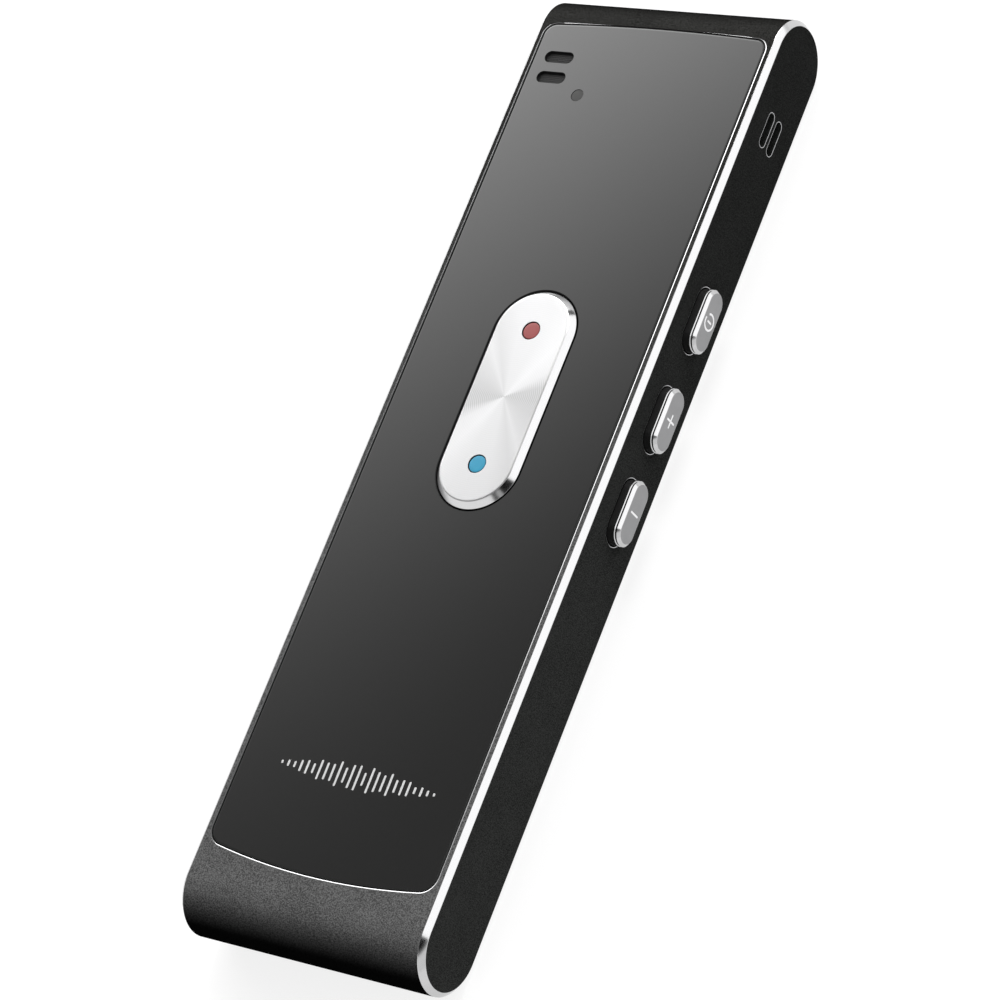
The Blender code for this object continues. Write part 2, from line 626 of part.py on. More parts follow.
def make_side_keys():
    """Each side button with its switch on the board and the plunger between them."""
    top = SIDE_X + BUTTON_HEIGHT
    flange_outer = INNER_X - SLIDE_GAP
    flange_inner = flange_outer - BUTTON_FLANGE_THICKNESS
    nub_end = flange_inner - BUTTON_NUB_LENGTH
    plunger_end = nub_end - PIN_GAP
    plunger_back = SWITCH_FACE_X - PLUNGER_HELD
    bore_back = plunger_back - BUTTON_TRAVEL - SLIDE_GAP
    for key, y in BUTTON_YS.items():
        origin = (top, y, MID_Z)
        nub = stadium(y, MID_Z, BUTTON_NUB_RADIUS, BUTTON_NUB_RADIUS)
        flange = stadium(y, MID_Z, BUTTON_HALF_LENGTH + BUTTON_FLANGE, BUTTON_RADIUS + BUTTON_FLANGE)
        cap = stadium(y, MID_Z, BUTTON_HALF_LENGTH, BUTTON_RADIUS)
        face = stadium(y, MID_Z, BUTTON_HALF_LENGTH - BUTTON_CHAMFER,
                       BUTTON_RADIUS - BUTTON_CHAMFER)
        button = loft(f"{key}_button", [
            across_x(nub, nub_end),
            across_x(nub, flange_inner),
            across_x(flange, flange_inner),
            across_x(flange, flange_outer),
            across_x(cap, flange_outer),
            across_x(cap, top - BUTTON_CHAMFER),
            across_x(face, top),
        ], origin)
        finish(button, "satin")

        body = rounded_box(y, MID_Z, SWITCH_HALF_LENGTH, UNDER_BOARD_Z - MID_Z, SWITCH_CORNER)
        switch = loft(f"{key}_switch", [across_x(body, SWITCH_FACE_X - SWITCH_DEPTH),
                                        across_x(body, SWITCH_FACE_X)])
        bore = circle(y, MID_Z, PLUNGER_RADIUS + PIN_GAP)
        cut(switch, loft(f"{key}_switch_bore_cutter", [across_x(bore, bore_back),
                                                       across_x(bore, top)]))
        finish(switch, "dark_plastic")
        rod = circle(y, MID_Z, PLUNGER_RADIUS)
        plunger = loft(f"{key}_plunger", [across_x(rod, plunger_back),
                                          across_x(rod, plunger_end)], origin)
        finish(plunger, "cream_plastic")


def make_strap_cup():
    """Plastic cup behind the two strap slots, open to the side wall."""
    open_x = INNER_X - SEAT_GAP
    back_x = open_x - STRAP_CUP_DEPTH
    half_z = STRAP_OFFSET + STRAP_RADIUS + STRAP_CUP_MARGIN
    half_y = STRAP_HALF_LENGTH + STRAP_CUP_MARGIN
    inner = rounded_box(STRAP_Y, MID_Z, half_y, half_z, STRAP_CUP_CORNER)
    outer = rounded_box(STRAP_Y, MID_Z, half_y + STRAP_CUP_WALL, half_z + STRAP_CUP_WALL,
                        STRAP_CUP_CORNER + STRAP_CUP_WALL)
    cup = loft("strap_cup", [
        across_x(inner, back_x + STRAP_CUP_WALL),
        across_x(inner, open_x),
        across_x(outer, open_x),
        across_x(outer, back_x),
    ])
    finish(cup, "dark_plastic")


def board_outline():
    """Outline of the board, with a bay for the charging socket and one for the strap cup."""
    cup_x = INNER_X - SEAT_GAP - STRAP_CUP_DEPTH - SLIDE_GAP
    cup_half = STRAP_CUP_HALF + SLIDE_GAP
    bay_half = USB_HALF_WIDTH + SLIDE_GAP
    bay_y = END_Y - USB_MOUTH_SUNK - USB_DEPTH - SLIDE_GAP
    half = BOARD_HALF_WIDTH
    return [
        (-half + BOARD_CORNER, BOARD_BOTTOM_Y), (half - BOARD_CORNER, BOARD_BOTTOM_Y),
        (half, BOARD_BOTTOM_Y + BOARD_CORNER), (half, STRAP_Y - cup_half),
        (cup_x, STRAP_Y - cup_half), (cup_x, STRAP_Y + cup_half), (half, STRAP_Y + cup_half),
        (half, BOARD_TOP_Y - BOARD_CORNER), (half - BOARD_CORNER, BOARD_TOP_Y),
        (bay_half, BOARD_TOP_Y), (bay_half, bay_y), (-bay_half, bay_y), (-bay_half, BOARD_TOP_Y),
        (-half + BOARD_CORNER, BOARD_TOP_Y), (-half, BOARD_TOP_Y - BOARD_CORNER),
        (-half, BOARD_BOTTOM_Y + BOARD_CORNER),
    ]


def make_board():
    """Circuit board on the four bosses, with the parts that stand on it."""
    board = plate("circuit_board", board_outline(), BOARD_BOTTOM_Z, BOARD_TOP_Z)
    for number, (side, y) in enumerate(boss_places(), 1):
        hole = circle(side * BOSS_X, y, SCREW_SHANK_RADIUS + SCREW_HOLE_SPARE)
        cut(board, plate(f"board_hole_cutter_{number}", hole, BOARD_BOTTOM_Z - CUT_OVERRUN,
                         BOARD_TOP_Z + CUT_OVERRUN))
    finish(board, "board")

    shield_outer = rounded_box(0, SHIELD_Y, SHIELD_HALF_WIDTH, SHIELD_HALF_DEPTH, SHIELD_CORNER)
    shield_inner = rounded_box(0, SHIELD_Y, SHIELD_HALF_WIDTH - SHIELD_SHEET,
                               SHIELD_HALF_DEPTH - SHIELD_SHEET, SHIELD_CORNER)
    shield = loft("shield_can", [
        across_z(shield_inner, ON_BOARD_Z + SHIELD_HEIGHT - SHIELD_SHEET),
        across_z(shield_inner, ON_BOARD_Z),
        across_z(shield_outer, ON_BOARD_Z),
        across_z(shield_outer, ON_BOARD_Z + SHIELD_HEIGHT),
    ])
    finish(shield, "tinned")

    processor_half = SHIELD_HALF_DEPTH - PROCESSOR_ROOM
    radio_y = (RADIO_HIGH_Y + RADIO_LOW_Y) / 2
    radio_half = (RADIO_HIGH_Y - RADIO_LOW_Y) / 2
    chips = (
        ("processor", 0, SHIELD_Y, processor_half, processor_half, PROCESSOR_HEIGHT, "chip"),
        ("memory_chip", 0, MEMORY_Y, MEMORY_HALF_WIDTH, MEMORY_HALF_DEPTH, MEMORY_HEIGHT, "chip"),
        ("radio_module", 0, radio_y, RADIO_HALF_WIDTH, radio_half, RADIO_HEIGHT, "tinned"),
        ("antenna", 0, ANTENNA_Y, ANTENNA_HALF_WIDTH, ANTENNA_HALF_DEPTH, ANTENNA_HEIGHT,
         "ceramic"),
        ("microphone", SLOT_X, sum(SLOT_YS) / 2, MICROPHONE_HALF_WIDTH, MICROPHONE_HALF_DEPTH,
         MICROPHONE_HEIGHT, "tinned"),
        ("status_led", STATUS_X, STATUS_Y, LED_HALF_SIZE, LED_HALF_SIZE, LED_HEIGHT,
         "cream_plastic"),
    )
    for name, x, y, half_width, half_depth, height, kind in chips:
        outline = rounded_box(x, y, half_width, half_depth, CHIP_CORNER)
        finish(plate(name, outline, ON_BOARD_Z, ON_BOARD_Z + height), kind)


def make_microphone_boot():
    """Rubber boot that seals the microphone to the two voice slots, with a bore for the sound."""
    low = ON_BOARD_Z + MICROPHONE_HEIGHT + SEAT_GAP
    high = GLASS_BOTTOM_Z - SEAT_GAP
    half_y = SLOT_PITCH / 2 + SLOT_RADIUS + BOOT_MARGIN
    y = sum(SLOT_YS) / 2
    outline = rounded_box(SLOT_X, y, SLOT_HALF_LENGTH, half_y, SLOT_RADIUS)
    boot = plate("microphone_boot", outline, low, high)
    cut(boot, plate("boot_bore_cutter", circle(SLOT_X, y, BOOT_BORE), low - CUT_OVERRUN,
                    high + CUT_OVERRUN))
    finish(boot, "rubber")


def make_status_window():
    """Clear light guide from the status light up through the glass, held by its flange."""
    rod = STATUS_HOLE_RADIUS - PIN_GAP
    flange = rod + STATUS_FLANGE
    flange_top = GLASS_BOTTOM_Z - SEAT_GAP
    flange_bottom = flange_top - STATUS_FLANGE_THICKNESS
    profile = [(rod, ON_BOARD_Z + LED_HEIGHT + SEAT_GAP), (rod, flange_bottom),
               (flange, flange_bottom), (flange, flange_top), (rod, flange_top),
               (rod, BODY_THICKNESS - STATUS_SUNK)]
    finish(turned("status_window", STATUS_X, STATUS_Y, profile), "clear_plastic")


def make_charging_socket():
    """Metal shell of the charging socket, open at the upper end, with the tongue inside it."""
    mouth = END_Y - USB_MOUTH_SUNK
    back = mouth - USB_DEPTH
    outer = stadium(0, MID_Z, USB_HALF_WIDTH, USB_HALF_HEIGHT)
    inner = stadium(0, MID_Z, USB_HALF_WIDTH - USB_SHELL, USB_HALF_HEIGHT - USB_SHELL)
    shell = loft("usb_socket", [
        across_y(inner, back + USB_BACK_WALL),
        across_y(inner, mouth),
        across_y(outer, mouth),
        across_y(outer, back),
    ])
    finish(shell, "steel")
    tongue = rounded_box(0, MID_Z, USB_TONGUE_HALF_WIDTH, USB_TONGUE_HALF_HEIGHT,
                         USB_TONGUE_CORNER)
    finish(loft("usb_tongue", [across_y(tongue, back + USB_BACK_WALL + SEAT_GAP),
                               across_y(tongue, mouth - USB_TONGUE_SUNK)]), "dark_plastic")


def screw(name, x, y, head_face, direction):
    """Screw with a sunk round drive, whose shank points up or down from its head face."""
    recess = head_face + direction * SCREW_RECESS_DEPTH
    under_head = head_face + direction * SCREW_HEAD_HEIGHT
    tip = under_head + direction * SCREW_LENGTH
    profile = [(SCREW_RECESS_RADIUS, recess), (SCREW_RECESS_RADIUS, head_face),
               (SCREW_HEAD_RADIUS, head_face), (SCREW_HEAD_RADIUS, under_head),
               (SCREW_SHANK_RADIUS, under_head), (SCREW_SHANK_RADIUS, tip)]
    finish(turned(name, x, y, profile), "steel")


def make_screws():
    """Four screws up through the cover and four down through the board, into the same bosses."""
    for number, (side, y) in enumerate(boss_places(), 1):
        x = side * BOSS_X
        screw(f"cover_screw_{number}", x, y, HEAD_SUNK, 1)
        screw(f"board_screw_{number}", x, y, ON_BOARD_Z + SCREW_HEAD_HEIGHT, -1)


def lead(name, x, start, end, kind):
    """Insulated lead in one plane of X, level at both ends, from a start to an end in Y and Z."""
    curve = bpy.data.curves.new(name, "CURVE")
    curve.dimensions = "3D"
    curve.bevel_depth = LEAD_RADIUS
    curve.bevel_resolution = 1
    curve.use_fill_caps = True
    spline = curve.splines.new("POLY")
    shares = spread(0, 1, LEAD_STEPS)
    spline.points.add(len(shares) - 1)
    for point, share in zip(spline.points, shares):
        rise = (1 - math.cos(math.pi * share)) / 2
        y = start[0] + (end[0] - start[0]) * share
        z = start[1] + (end[1] - start[1]) * rise
        point.co = (x, y, z, 1)
    obj = bpy.data.objects.new(name, curve)
    bpy.context.scene.collection.objects.link(obj)
    finish(obj, kind)


def make_battery():
    """Flat pouch cell on the cover, a foam pad up to the board, and its plug with two leads."""
    x = (BATTERY_LEFT_X + BATTERY_RIGHT_X) / 2
    y = (BATTERY_TOP_Y + BATTERY_BOTTOM_Y) / 2
    half_width = (BATTERY_RIGHT_X - BATTERY_LEFT_X) / 2
    half_length = (BATTERY_TOP_Y - BATTERY_BOTTOM_Y) / 2
    cell = rounded_box(x, y, half_width, half_length, BATTERY_CORNER)
    finish(plate("battery", cell, ON_COVER_Z, BATTERY_TOP_Z), "pouch")
    pad = rounded_box(x, y, half_width - FOAM_MARGIN, half_length - FOAM_MARGIN, BATTERY_CORNER)
    finish(plate("battery_foam", pad, BATTERY_TOP_Z + SEAT_GAP, UNDER_BOARD_Z), "foam")

    plug = rounded_box(CONNECTOR_X, CONNECTOR_Y, CONNECTOR_HALF_WIDTH, CONNECTOR_HALF_DEPTH,
                       CHIP_CORNER)
    plug_bottom = UNDER_BOARD_Z - CONNECTOR_HEIGHT
    finish(plate("battery_plug", plug, plug_bottom, UNDER_BOARD_Z), "cream_plastic")
    start = (BATTERY_TOP_Y + SEAT_GAP, (ON_COVER_Z + BATTERY_TOP_Z) / 2)
    end = (CONNECTOR_Y - CONNECTOR_HALF_DEPTH - SEAT_GAP, plug_bottom + CONNECTOR_HEIGHT / 2)
    lead("battery_lead_red", CONNECTOR_X + LEAD_SPACING / 2, start, end, "red_wire")
    lead("battery_lead_black", CONNECTOR_X - LEAD_SPACING / 2, start, end, "black_wire")


def make_speaker():
    """Speaker over the grille on its foam gasket, and its plug with two leads."""
    low = ON_COVER_Z + GASKET_THICKNESS + SEAT_GAP
    outline = rounded_box(0, SPEAKER_Y, SPEAKER_HALF_WIDTH, SPEAKER_HALF_DEPTH, SPEAKER_CORNER)
    finish(plate("speaker", outline, low, low + SPEAKER_HEIGHT), "dark_plastic")
    gasket = plate("speaker_gasket", outline, ON_COVER_Z, ON_COVER_Z + GASKET_THICKNESS)
    hollow = rounded_box(0, SPEAKER_Y, SPEAKER_HALF_WIDTH - GASKET_RIM,
                         SPEAKER_HALF_DEPTH - GASKET_RIM, SPEAKER_CORNER)
    cut(gasket, plate("gasket_cutter", hollow, ON_COVER_Z - CUT_OVERRUN, low + CUT_OVERRUN))
    finish(gasket, "foam")

    plug = rounded_box(0, SPEAKER_PLUG_Y, CONNECTOR_HALF_WIDTH, CONNECTOR_HALF_DEPTH, CHIP_CORNER)
    plug_bottom = UNDER_BOARD_Z - CONNECTOR_HEIGHT
    finish(plate("speaker_plug", plug, plug_bottom, UNDER_BOARD_Z), "cream_plastic")
    start = (SPEAKER_Y + SPEAKER_HALF_DEPTH + SEAT_GAP, low + SPEAKER_HEIGHT / 2)
    end = (SPEAKER_PLUG_Y - CONNECTOR_HALF_DEPTH - SEAT_GAP, plug_bottom + CONNECTOR_HEIGHT / 2)
    lead("speaker_lead_red", LEAD_SPACING / 2, start, end, "red_wire")
    lead("speaker_lead_black", -LEAD_SPACING / 2, start, end, "black_wire")


def main():
    clear_scene()
    make_housing()
    make_front_panel()
    make_rear_cover()
    make_rocker()
    make_snap_domes()
    make_side_keys()
    make_strap_cup()
    make_board()
    make_microphone_boot()
    make_status_window()
    make_charging_socket()
    make_screws()
    make_battery()
    make_speaker()


main()
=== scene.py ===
"""Looks of a handheld translator: fine pieces and finishes round its packed CAD frame.

Metres. The device lies on its back: +X is the side with the three buttons, +Y the end with the
voice slots, and +Z points out of the face with the rocker key.
"""
import json
import math

import bmesh
import bpy
from mathutils import Matrix, Vector


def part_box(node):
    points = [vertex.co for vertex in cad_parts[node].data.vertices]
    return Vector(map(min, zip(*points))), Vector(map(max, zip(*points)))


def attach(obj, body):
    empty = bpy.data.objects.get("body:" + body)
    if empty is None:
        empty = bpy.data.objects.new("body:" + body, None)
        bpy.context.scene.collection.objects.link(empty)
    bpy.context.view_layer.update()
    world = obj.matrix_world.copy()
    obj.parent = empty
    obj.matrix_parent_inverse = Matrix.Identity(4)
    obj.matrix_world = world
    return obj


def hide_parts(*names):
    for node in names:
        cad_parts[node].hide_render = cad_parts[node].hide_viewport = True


bl_info = {
    "name": "Handheld Translator",
    "version": (1, 0, 0),
    "blender": (4, 5, 0),
    "location": "3D View > Sidebar > Translator",
    "description": "Builds the looks of a slim pocket translator round its packed CAD frame",
    "category": "Object",
}

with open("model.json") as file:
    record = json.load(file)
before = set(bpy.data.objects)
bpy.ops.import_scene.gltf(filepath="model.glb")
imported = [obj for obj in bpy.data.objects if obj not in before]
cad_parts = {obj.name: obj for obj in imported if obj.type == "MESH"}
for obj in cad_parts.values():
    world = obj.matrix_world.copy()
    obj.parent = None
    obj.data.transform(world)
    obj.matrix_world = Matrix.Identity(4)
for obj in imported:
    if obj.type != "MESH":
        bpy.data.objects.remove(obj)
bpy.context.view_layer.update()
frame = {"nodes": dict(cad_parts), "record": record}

# Places read from the frame
SIDE_X, END_Y, FACE_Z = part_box("housing")[1]
MID_Z = FACE_Z / 2
GLASS_LOW_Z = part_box("front_panel")[0].z
COVER_HIGH_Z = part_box("rear_cover")[1].z
CAP_LOW, CAP_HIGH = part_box("rocker_cap")
CAP_RADIUS = CAP_HIGH.x
CAP_HALF_LENGTH = (CAP_HIGH.y - CAP_LOW.y) / 2
CAP_Y = (CAP_HIGH.y + CAP_LOW.y) / 2
BUTTON_TOP_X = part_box("power_button")[1].x
LIGHT_LOW, LIGHT_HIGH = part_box("status_window")
SOCKET_LOW, SOCKET_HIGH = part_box("usb_socket")
TONGUE_LOW, TONGUE_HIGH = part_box("usb_tongue")

# The shell's walls and the opening of the face, as in the CAD
SIDE_WALL = 0.00153
END_WALL = 0.0019
LEDGE_WIDTH = 0.0016
OPENING_HALF_WIDTH = SIDE_X - 0.00133
OPENING_TOP = END_Y - 0.00535
OPENING_BOTTOM = END_Y - 0.0090
TOP_BULGE = 0.00055
BOTTOM_BULGE = 0.0016
TOP_CORNER = 0.0020
BOTTOM_CORNER = 0.0025
LEAST_CORNER_SHARE = 0.25
GLASS_SEAT = 0.00010
COVER_SEAT = 0.00030
COVER_SEAT_Z = COVER_HIGH_Z + COVER_SEAT
FACE_GAP = 0.00015
SLIDE_GAP = 0.00020
OVERRUN = 0.0010
SMALL_OVERRUN = 0.00001
INNER_X = SIDE_X - SIDE_WALL

# Heights between which painted shade darkens the shell's round ends towards the underside
PAINTED_SHADE_LOW_Z = 0.0084
PAINTED_SHADE_HIGH_Z = 0.0120

# The four bosses and the screws of the cover
BOSS_X = INNER_X - 0.0028
BOSS_Y = END_Y - 0.0250
BOSS_HALF_WIDTH = 0.0019
BOSS_CORNER = 0.00069
BORE_RADIUS = 0.00085
BORE_DEPTH = 0.0026
WALL_BITE = 0.00030
HEAD_RADIUS = 0.00140
HEAD_GAP = 0.00015
SEAT_DEPTH = 0.00070
SHANK_RADIUS = 0.00070

# The side buttons and the strap slots
KEYS = ("power", "plus", "minus")
BUTTON_FLANGE = 0.00060
BUTTON_NUB_RADIUS = 0.00070
BUTTON_NUB_LENGTH = 0.00050
STRAP_Y = END_Y - 0.0165
STRAP_HALF_LENGTH = 0.0025
STRAP_RADIUS = 0.00075
STRAP_OFFSET = 0.00115

# The voice slots, the sheets of mesh in them, and the status light
SLOT_HALF_LENGTH = 0.00225
SLOT_RADIUS = 0.00085
SLOT_LEDGE_GAP = 0.00036
SLOT_DROP = 0.00578
SLOT_PITCH = 0.00317
SLOT_X = SLOT_HALF_LENGTH + SLOT_LEDGE_GAP - (OPENING_HALF_WIDTH - LEDGE_WIDTH)
SLOT_YS = (OPENING_TOP - SLOT_DROP, OPENING_TOP - SLOT_DROP - SLOT_PITCH)
LIGHT_X = (LIGHT_LOW.x + LIGHT_HIGH.x) / 2
LIGHT_Y = (LIGHT_LOW.y + LIGHT_HIGH.y) / 2
LIGHT_HOLE_RADIUS = 0.00090
MESH_GAP = 0.00005
MESH_SUNK = 0.00040

# The charging socket
SOCKET_SHEET = 0.00030
SOCKET_BACK_WALL = 0.0007

# Points on curves
END_STEPS = 48
ROUND_STEPS = 24
CORNER_STEPS = 12
ARC_STEPS = 40
SOFT_STEPS = 3
MESH_HOLE_SIDES = 8
DOT_STEPS = 16

# A band is a chamfer when its rise and its run are each more than this share of the other
SLANT_SHARE = 0.12
# Faces of the rocker that look up more than this keep the spun finish
FLAT_SHARE = 0.8
SHARP_ANGLE = math.radians(32)


# Sizes and colours that a user may change

def length(name, description, default):
    """Setting of a length in metres."""
    return bpy.props.FloatProperty(name=name, description=description, default=default, min=0,
                                   precision=5, subtype="DISTANCE", unit="LENGTH")


def colour(name, description, default):
    """Setting of a colour in linear values."""
    return bpy.props.FloatVectorProperty(name=name, description=description, default=default,
                                         size=3, min=0, max=1, subtype="COLOR")


def level(name, description, default):
    """Setting of a plain strength or share."""
    return bpy.props.FloatProperty(name=name, description=description, default=default, min=0)


def count(name, description, default):
    """Setting of a whole number."""
    return bpy.props.IntProperty(name=name, description=description, default=default, min=1)


class ShellSettings(bpy.types.PropertyGroup):
    """Sizes and colours of the metal shell"""

    chamfer: length("Chamfer", "Width of the bright cut along both long edges", 0.00069)
    softness: length("Softness", "Rounding of every cut edge", 0.00004)
    rim_inset: length("Rim inset", "How far the rim reaches in over the CAD opening", 0.00010)
    rim_width: length("Rim width", "Width of the polished rim round the face", 0.00014)
    rim_drop: length("Rim drop", "How far the rim slopes down to the glass", 0.000034)
    hole_edge: length("Hole edge", "Bright bevel of the button holes and strap slots", 0.00009)
    edge_slope: level("Edge slope", "Width of that bevel over its depth", 6.0)
    # The colours of the two ends hold painted light and shade: lighter at the lower end, darker
    # at the upper end
    lower_painted_light: colour("Lower end", "Colour of the blasted metal at the lower end",
                         (0.080, 0.080, 0.080))
    upper_painted_shade: colour("Upper end", "Colour of the blasted metal at the upper end",
                         (0.021, 0.021, 0.020))
    side_colour: colour("Sides", "Colour of the flat sides", (0.033, 0.034, 0.033))
    # Painted shade that the round ends darken to below
    underside_painted_shade: colour("Underside", "Colour that the ends turn to below",
                         (0.002, 0.002, 0.002))
    cut_colour: colour("Cuts", "Colour of the polished cuts", (0.56, 0.56, 0.565))


class FaceSettings(bpy.types.PropertyGroup):
    """Sizes and colours of the glossy face"""

    edge: length("Edge", "Blackened bevel round the glass", 0.00020)
    slot_edge: length("Slot edge", "Bevel round the voice slots", 0.00005)
    glass_colour: colour("Glass", "Colour behind the gloss", (0.0082, 0.0082, 0.0080))
    mark_colour: colour("Voice mark", "Colour of the printed voice mark", (0.52, 0.52, 0.52))
    mark_x: bpy.props.FloatProperty(name="Mark X", description="Middle of the voice mark across",
                                    default=0.0006, unit="LENGTH", precision=5)
    mark_y: bpy.props.FloatProperty(name="Mark Y", description="Middle of the voice mark along",
                                    default=-0.0463, unit="LENGTH", precision=5)
    bars: count("Bars", "Number of bars in the voice mark", 25)
    bar_pitch: length("Bar pitch", "Distance from bar to bar", 0.00098)
    bar_radius: length("Bar radius", "Half the width of a bar", 0.00016)
    bar_reach: length("Bar reach", "Half the height of the tallest bar", 0.00175)
    bar_print: length("Print", "Thickness of the print", 0.00002)
    mesh_hole: length("Mesh hole", "Radius of the holes in the slot mesh", 0.00008)
    mesh_pitch: length("Mesh pitch", "Distance from hole to hole in the slot mesh", 0.00026)
    mesh_depth: length("Mesh depth", "Depth of the holes in the slot mesh", 0.00025)


class RockerSettings(bpy.types.PropertyGroup):
    """Sizes and colours of the rocker key"""

    chamfer: length("Chamfer", "Width of the polished chamfer", 0.00077)
    inner_cut: length("Inner cut", "Width of the second, flatter cut inside the chamfer", 0.00010)
    softness: length("Softness", "Rounding of the cut edges", 0.00003)
    ring_pitch: length("Ring pitch", "Distance from ring to ring of the spun face", 0.00028)
    inlay_gap: length("Inlay gap", "Gap round each inlay", 0.00012)
    inlay_edge: length("Inlay edge", "Rounding of the inlays and their holes", 0.00006)
    spun_colour: colour("Spun face", "Colour of the spun face", (0.71, 0.71, 0.715))
    red: colour("Red", "Colour of the upper inlay", (0.284, 0.071, 0.069))
    blue: colour("Blue", "Colour of the lower inlay", (0.037, 0.259, 0.402))


class ButtonSettings(bpy.types.PropertyGroup):
    """Sizes and colours of the side buttons"""

    chamfer: length("Chamfer", "Width of the polished chamfer", 0.00037)
    softness: length("Softness", "Rounding of the cut edges", 0.00003)
    collar: length("Collar", "Height of the black collar above the shell", 0.00100)
    bead: length("Bead", "Height of the bright bevel on the collar", 0.00008)
    groove_depth: length("Groove depth", "How far the black groove over the bead goes in",
                         0.00010)
    ring_reach: length("Ring reach", "Outer radius of the power mark", 0.00120)
    sign_reach: length("Sign reach", "Half the length of the plus and minus marks", 0.00095)
    mark_stroke: length("Mark stroke", "Half the width of a stroke", 0.00014)
    mark_depth: length("Mark depth", "How deep the marks are cut", 0.00006)
    satin_colour: colour("Satin", "Colour of the satin faces", (0.29, 0.29, 0.295))


class BackSettings(bpy.types.PropertyGroup):
    """Sizes and colours of the rear cover, its grille and its screws"""

    edge: length("Edge", "Bevel round the cover", 0.00012)
    hole_radius: length("Hole radius", "Radius of the holes of the grille", 0.00055)
    hole_pitch: length("Hole pitch", "Distance from hole to hole", 0.0020)
    columns: count("Columns", "Holes across the grille", 7)
    rows: count("Rows", "Holes along the grille", 3)
    cross_reach: length("Cross reach", "Half the length of the screws' cross", 0.00085)
    cross_stroke: length("Cross stroke", "Half the width of the screws' cross", 0.00016)
    cross_depth: length("Cross depth", "Depth of the screws' cross", 0.00032)
    cover_colour: colour("Cover", "Colour of the rear cover", (0.030, 0.030, 0.031))


class SocketSettings(bpy.types.PropertyGroup):
    """Sizes and colours of the charging socket"""

    lip: length("Lip", "Rounding of the socket's mouth", 0.00008)
    contacts: count("Contacts", "Contacts on each face of the tongue", 12)
    contact_pitch: length("Contact pitch", "Distance from contact to contact", 0.00045)
    contact_width: length("Contact width", "Width of a contact", 0.00022)
    contact_length: length("Contact length", "Length of a contact", 0.0030)
    contact_height: length("Contact height", "How far a contact stands proud", 0.00003)
    gold: colour("Gold", "Colour of the contacts", (0.83, 0.60, 0.25))


class StageSettings(bpy.types.PropertyGroup):
    """Floor, lamps and camera"""

    floor_radius: length("Floor radius", "Radius of the pale floor", 3.0)
    floor_colour: colour("Floor", "Colour of the floor", (0.25, 0.25, 0.25))
    floor_glow: level("Floor glow", "What the floor adds to what is seen of it", 0.80)
    zenith: level("Zenith", "Strength of the dome overhead", 0.20)
    low_dome: level("Low dome", "Strength of the dome above the horizon band", 0.05)
    horizon: level("Horizon", "Strength of the pale band at the horizon", 0.95)
    left_box: level("Left box", "Strength of the soft box at the back left", 5.9)
    right_box: level("Right box", "Strength of the soft box at the right", 1.8)
    front_box: level("Front box", "Strength of the low soft box in front", 1.25)
    spot_box: level("Spot box", "Strength of the narrow light between the two", 0.6)
    lamp_power: level("Lamp", "Power of the lamp overhead in watts", 5.0)
    lens: bpy.props.FloatProperty(name="Lens", description="Focal length of the camera",
                                  default=134.98, unit="CAMERA")


# Outlines and closed meshes

def spread(first, last, steps):
    """Evenly spaced values from first to last, both included."""
    return [first + (last - first) * i / steps for i in range(steps + 1)]


def stadium(u, v, half_length, radius, steps=ROUND_STEPS):
    """Outline with two round ends, long along its first axis."""
    reach = max(half_length - radius, 0)
    return [(u + side * (reach + radius * math.cos(t)), v + side * radius * math.sin(t))
            for side in (1, -1) for t in spread(-math.pi / 2, math.pi / 2, steps)]


def circle(u, v, radius, steps=2 * ROUND_STEPS):
    """Round outline."""
    return [(u + radius * math.cos(t), v + radius * math.sin(t))
            for t in spread(0, 2 * math.pi, steps)[:-1]]


def rounded_box(u, v, half_u, half_v, corner, steps=CORNER_STEPS):
    """Rectangular outline with round corners."""
    points = []
    for turn, (side_u, side_v) in enumerate(((1, 1), (-1, 1), (-1, -1), (1, -1))):
        start = turn * math.pi / 2
        for t in spread(start, start + math.pi / 2, steps):
            points.append((u + side_u * (half_u - corner) + corner * math.cos(t),
                           v + side_v * (half_v - corner) + corner * math.sin(t)))
    return points


def opening_end(apex, bulge, corner, inset):
    """One end of the face opening, from its right side over its shallow arc to its left side."""
    full_arc = (OPENING_HALF_WIDTH ** 2 + bulge ** 2) / (2 * bulge)
    centre = apex - full_arc
    arc = full_arc - inset
    half = OPENING_HALF_WIDTH - inset
    fillet = max(corner - inset, corner * LEAST_CORNER_SHARE)
    rise = math.sqrt((arc - fillet) ** 2 - (half - fillet) ** 2)
    lean = math.atan2(half - fillet, rise)
    right = [(half - fillet + fillet * math.cos(t), centre + rise + fillet * math.sin(t))
             for t in spread(0, math.pi / 2 - lean, CORNER_STEPS)]
    middle = [(arc * math.sin(t), centre + arc * math.cos(t))
              for t in spread(lean, -lean, ARC_STEPS)[1:-1]]
    left = [(-x, y) for x, y in reversed(right)]
    return right + middle + left


def face_outline(inset):
    """Outline of the face opening, drawn in by the inset."""
    upper = opening_end(OPENING_TOP, TOP_BULGE, TOP_CORNER, inset)
    lower = opening_end(OPENING_BOTTOM, BOTTOM_BULGE, BOTTOM_CORNER, inset)
    return upper + [(-x, -y) for x, y in lower]


def side_outline(inset):
    """Outline of the body seen from its side, drawn in by the inset."""
    return stadium(0, MID_Z, END_Y - inset, MID_Z - inset, END_STEPS)


def cap_outline(inset):
    """Outline of the rocker, drawn in by the inset, long along Y."""
    shape = stadium(CAP_Y, 0, CAP_HALF_LENGTH - inset, CAP_RADIUS - inset, END_STEPS)
    return [(x, y) for y, x in shape]


def drawn_in(outline, *sizes):
    """Function that draws an outline of the given place and half sizes in by an inset."""
    def with_inset(inset):
        middle, halves = sizes[:2], sizes[2:]
        return outline(*middle, *(half - inset for half in halves))
    return with_inset


def button_place(key):
    """Middle along Y, half length and radius of a button, without its flange."""
    low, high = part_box(f"{key}_button")
    return ((low.y + high.y) / 2, (high.y - low.y) / 2 - BUTTON_FLANGE,
            (high.z - low.z) / 2 - BUTTON_FLANGE)


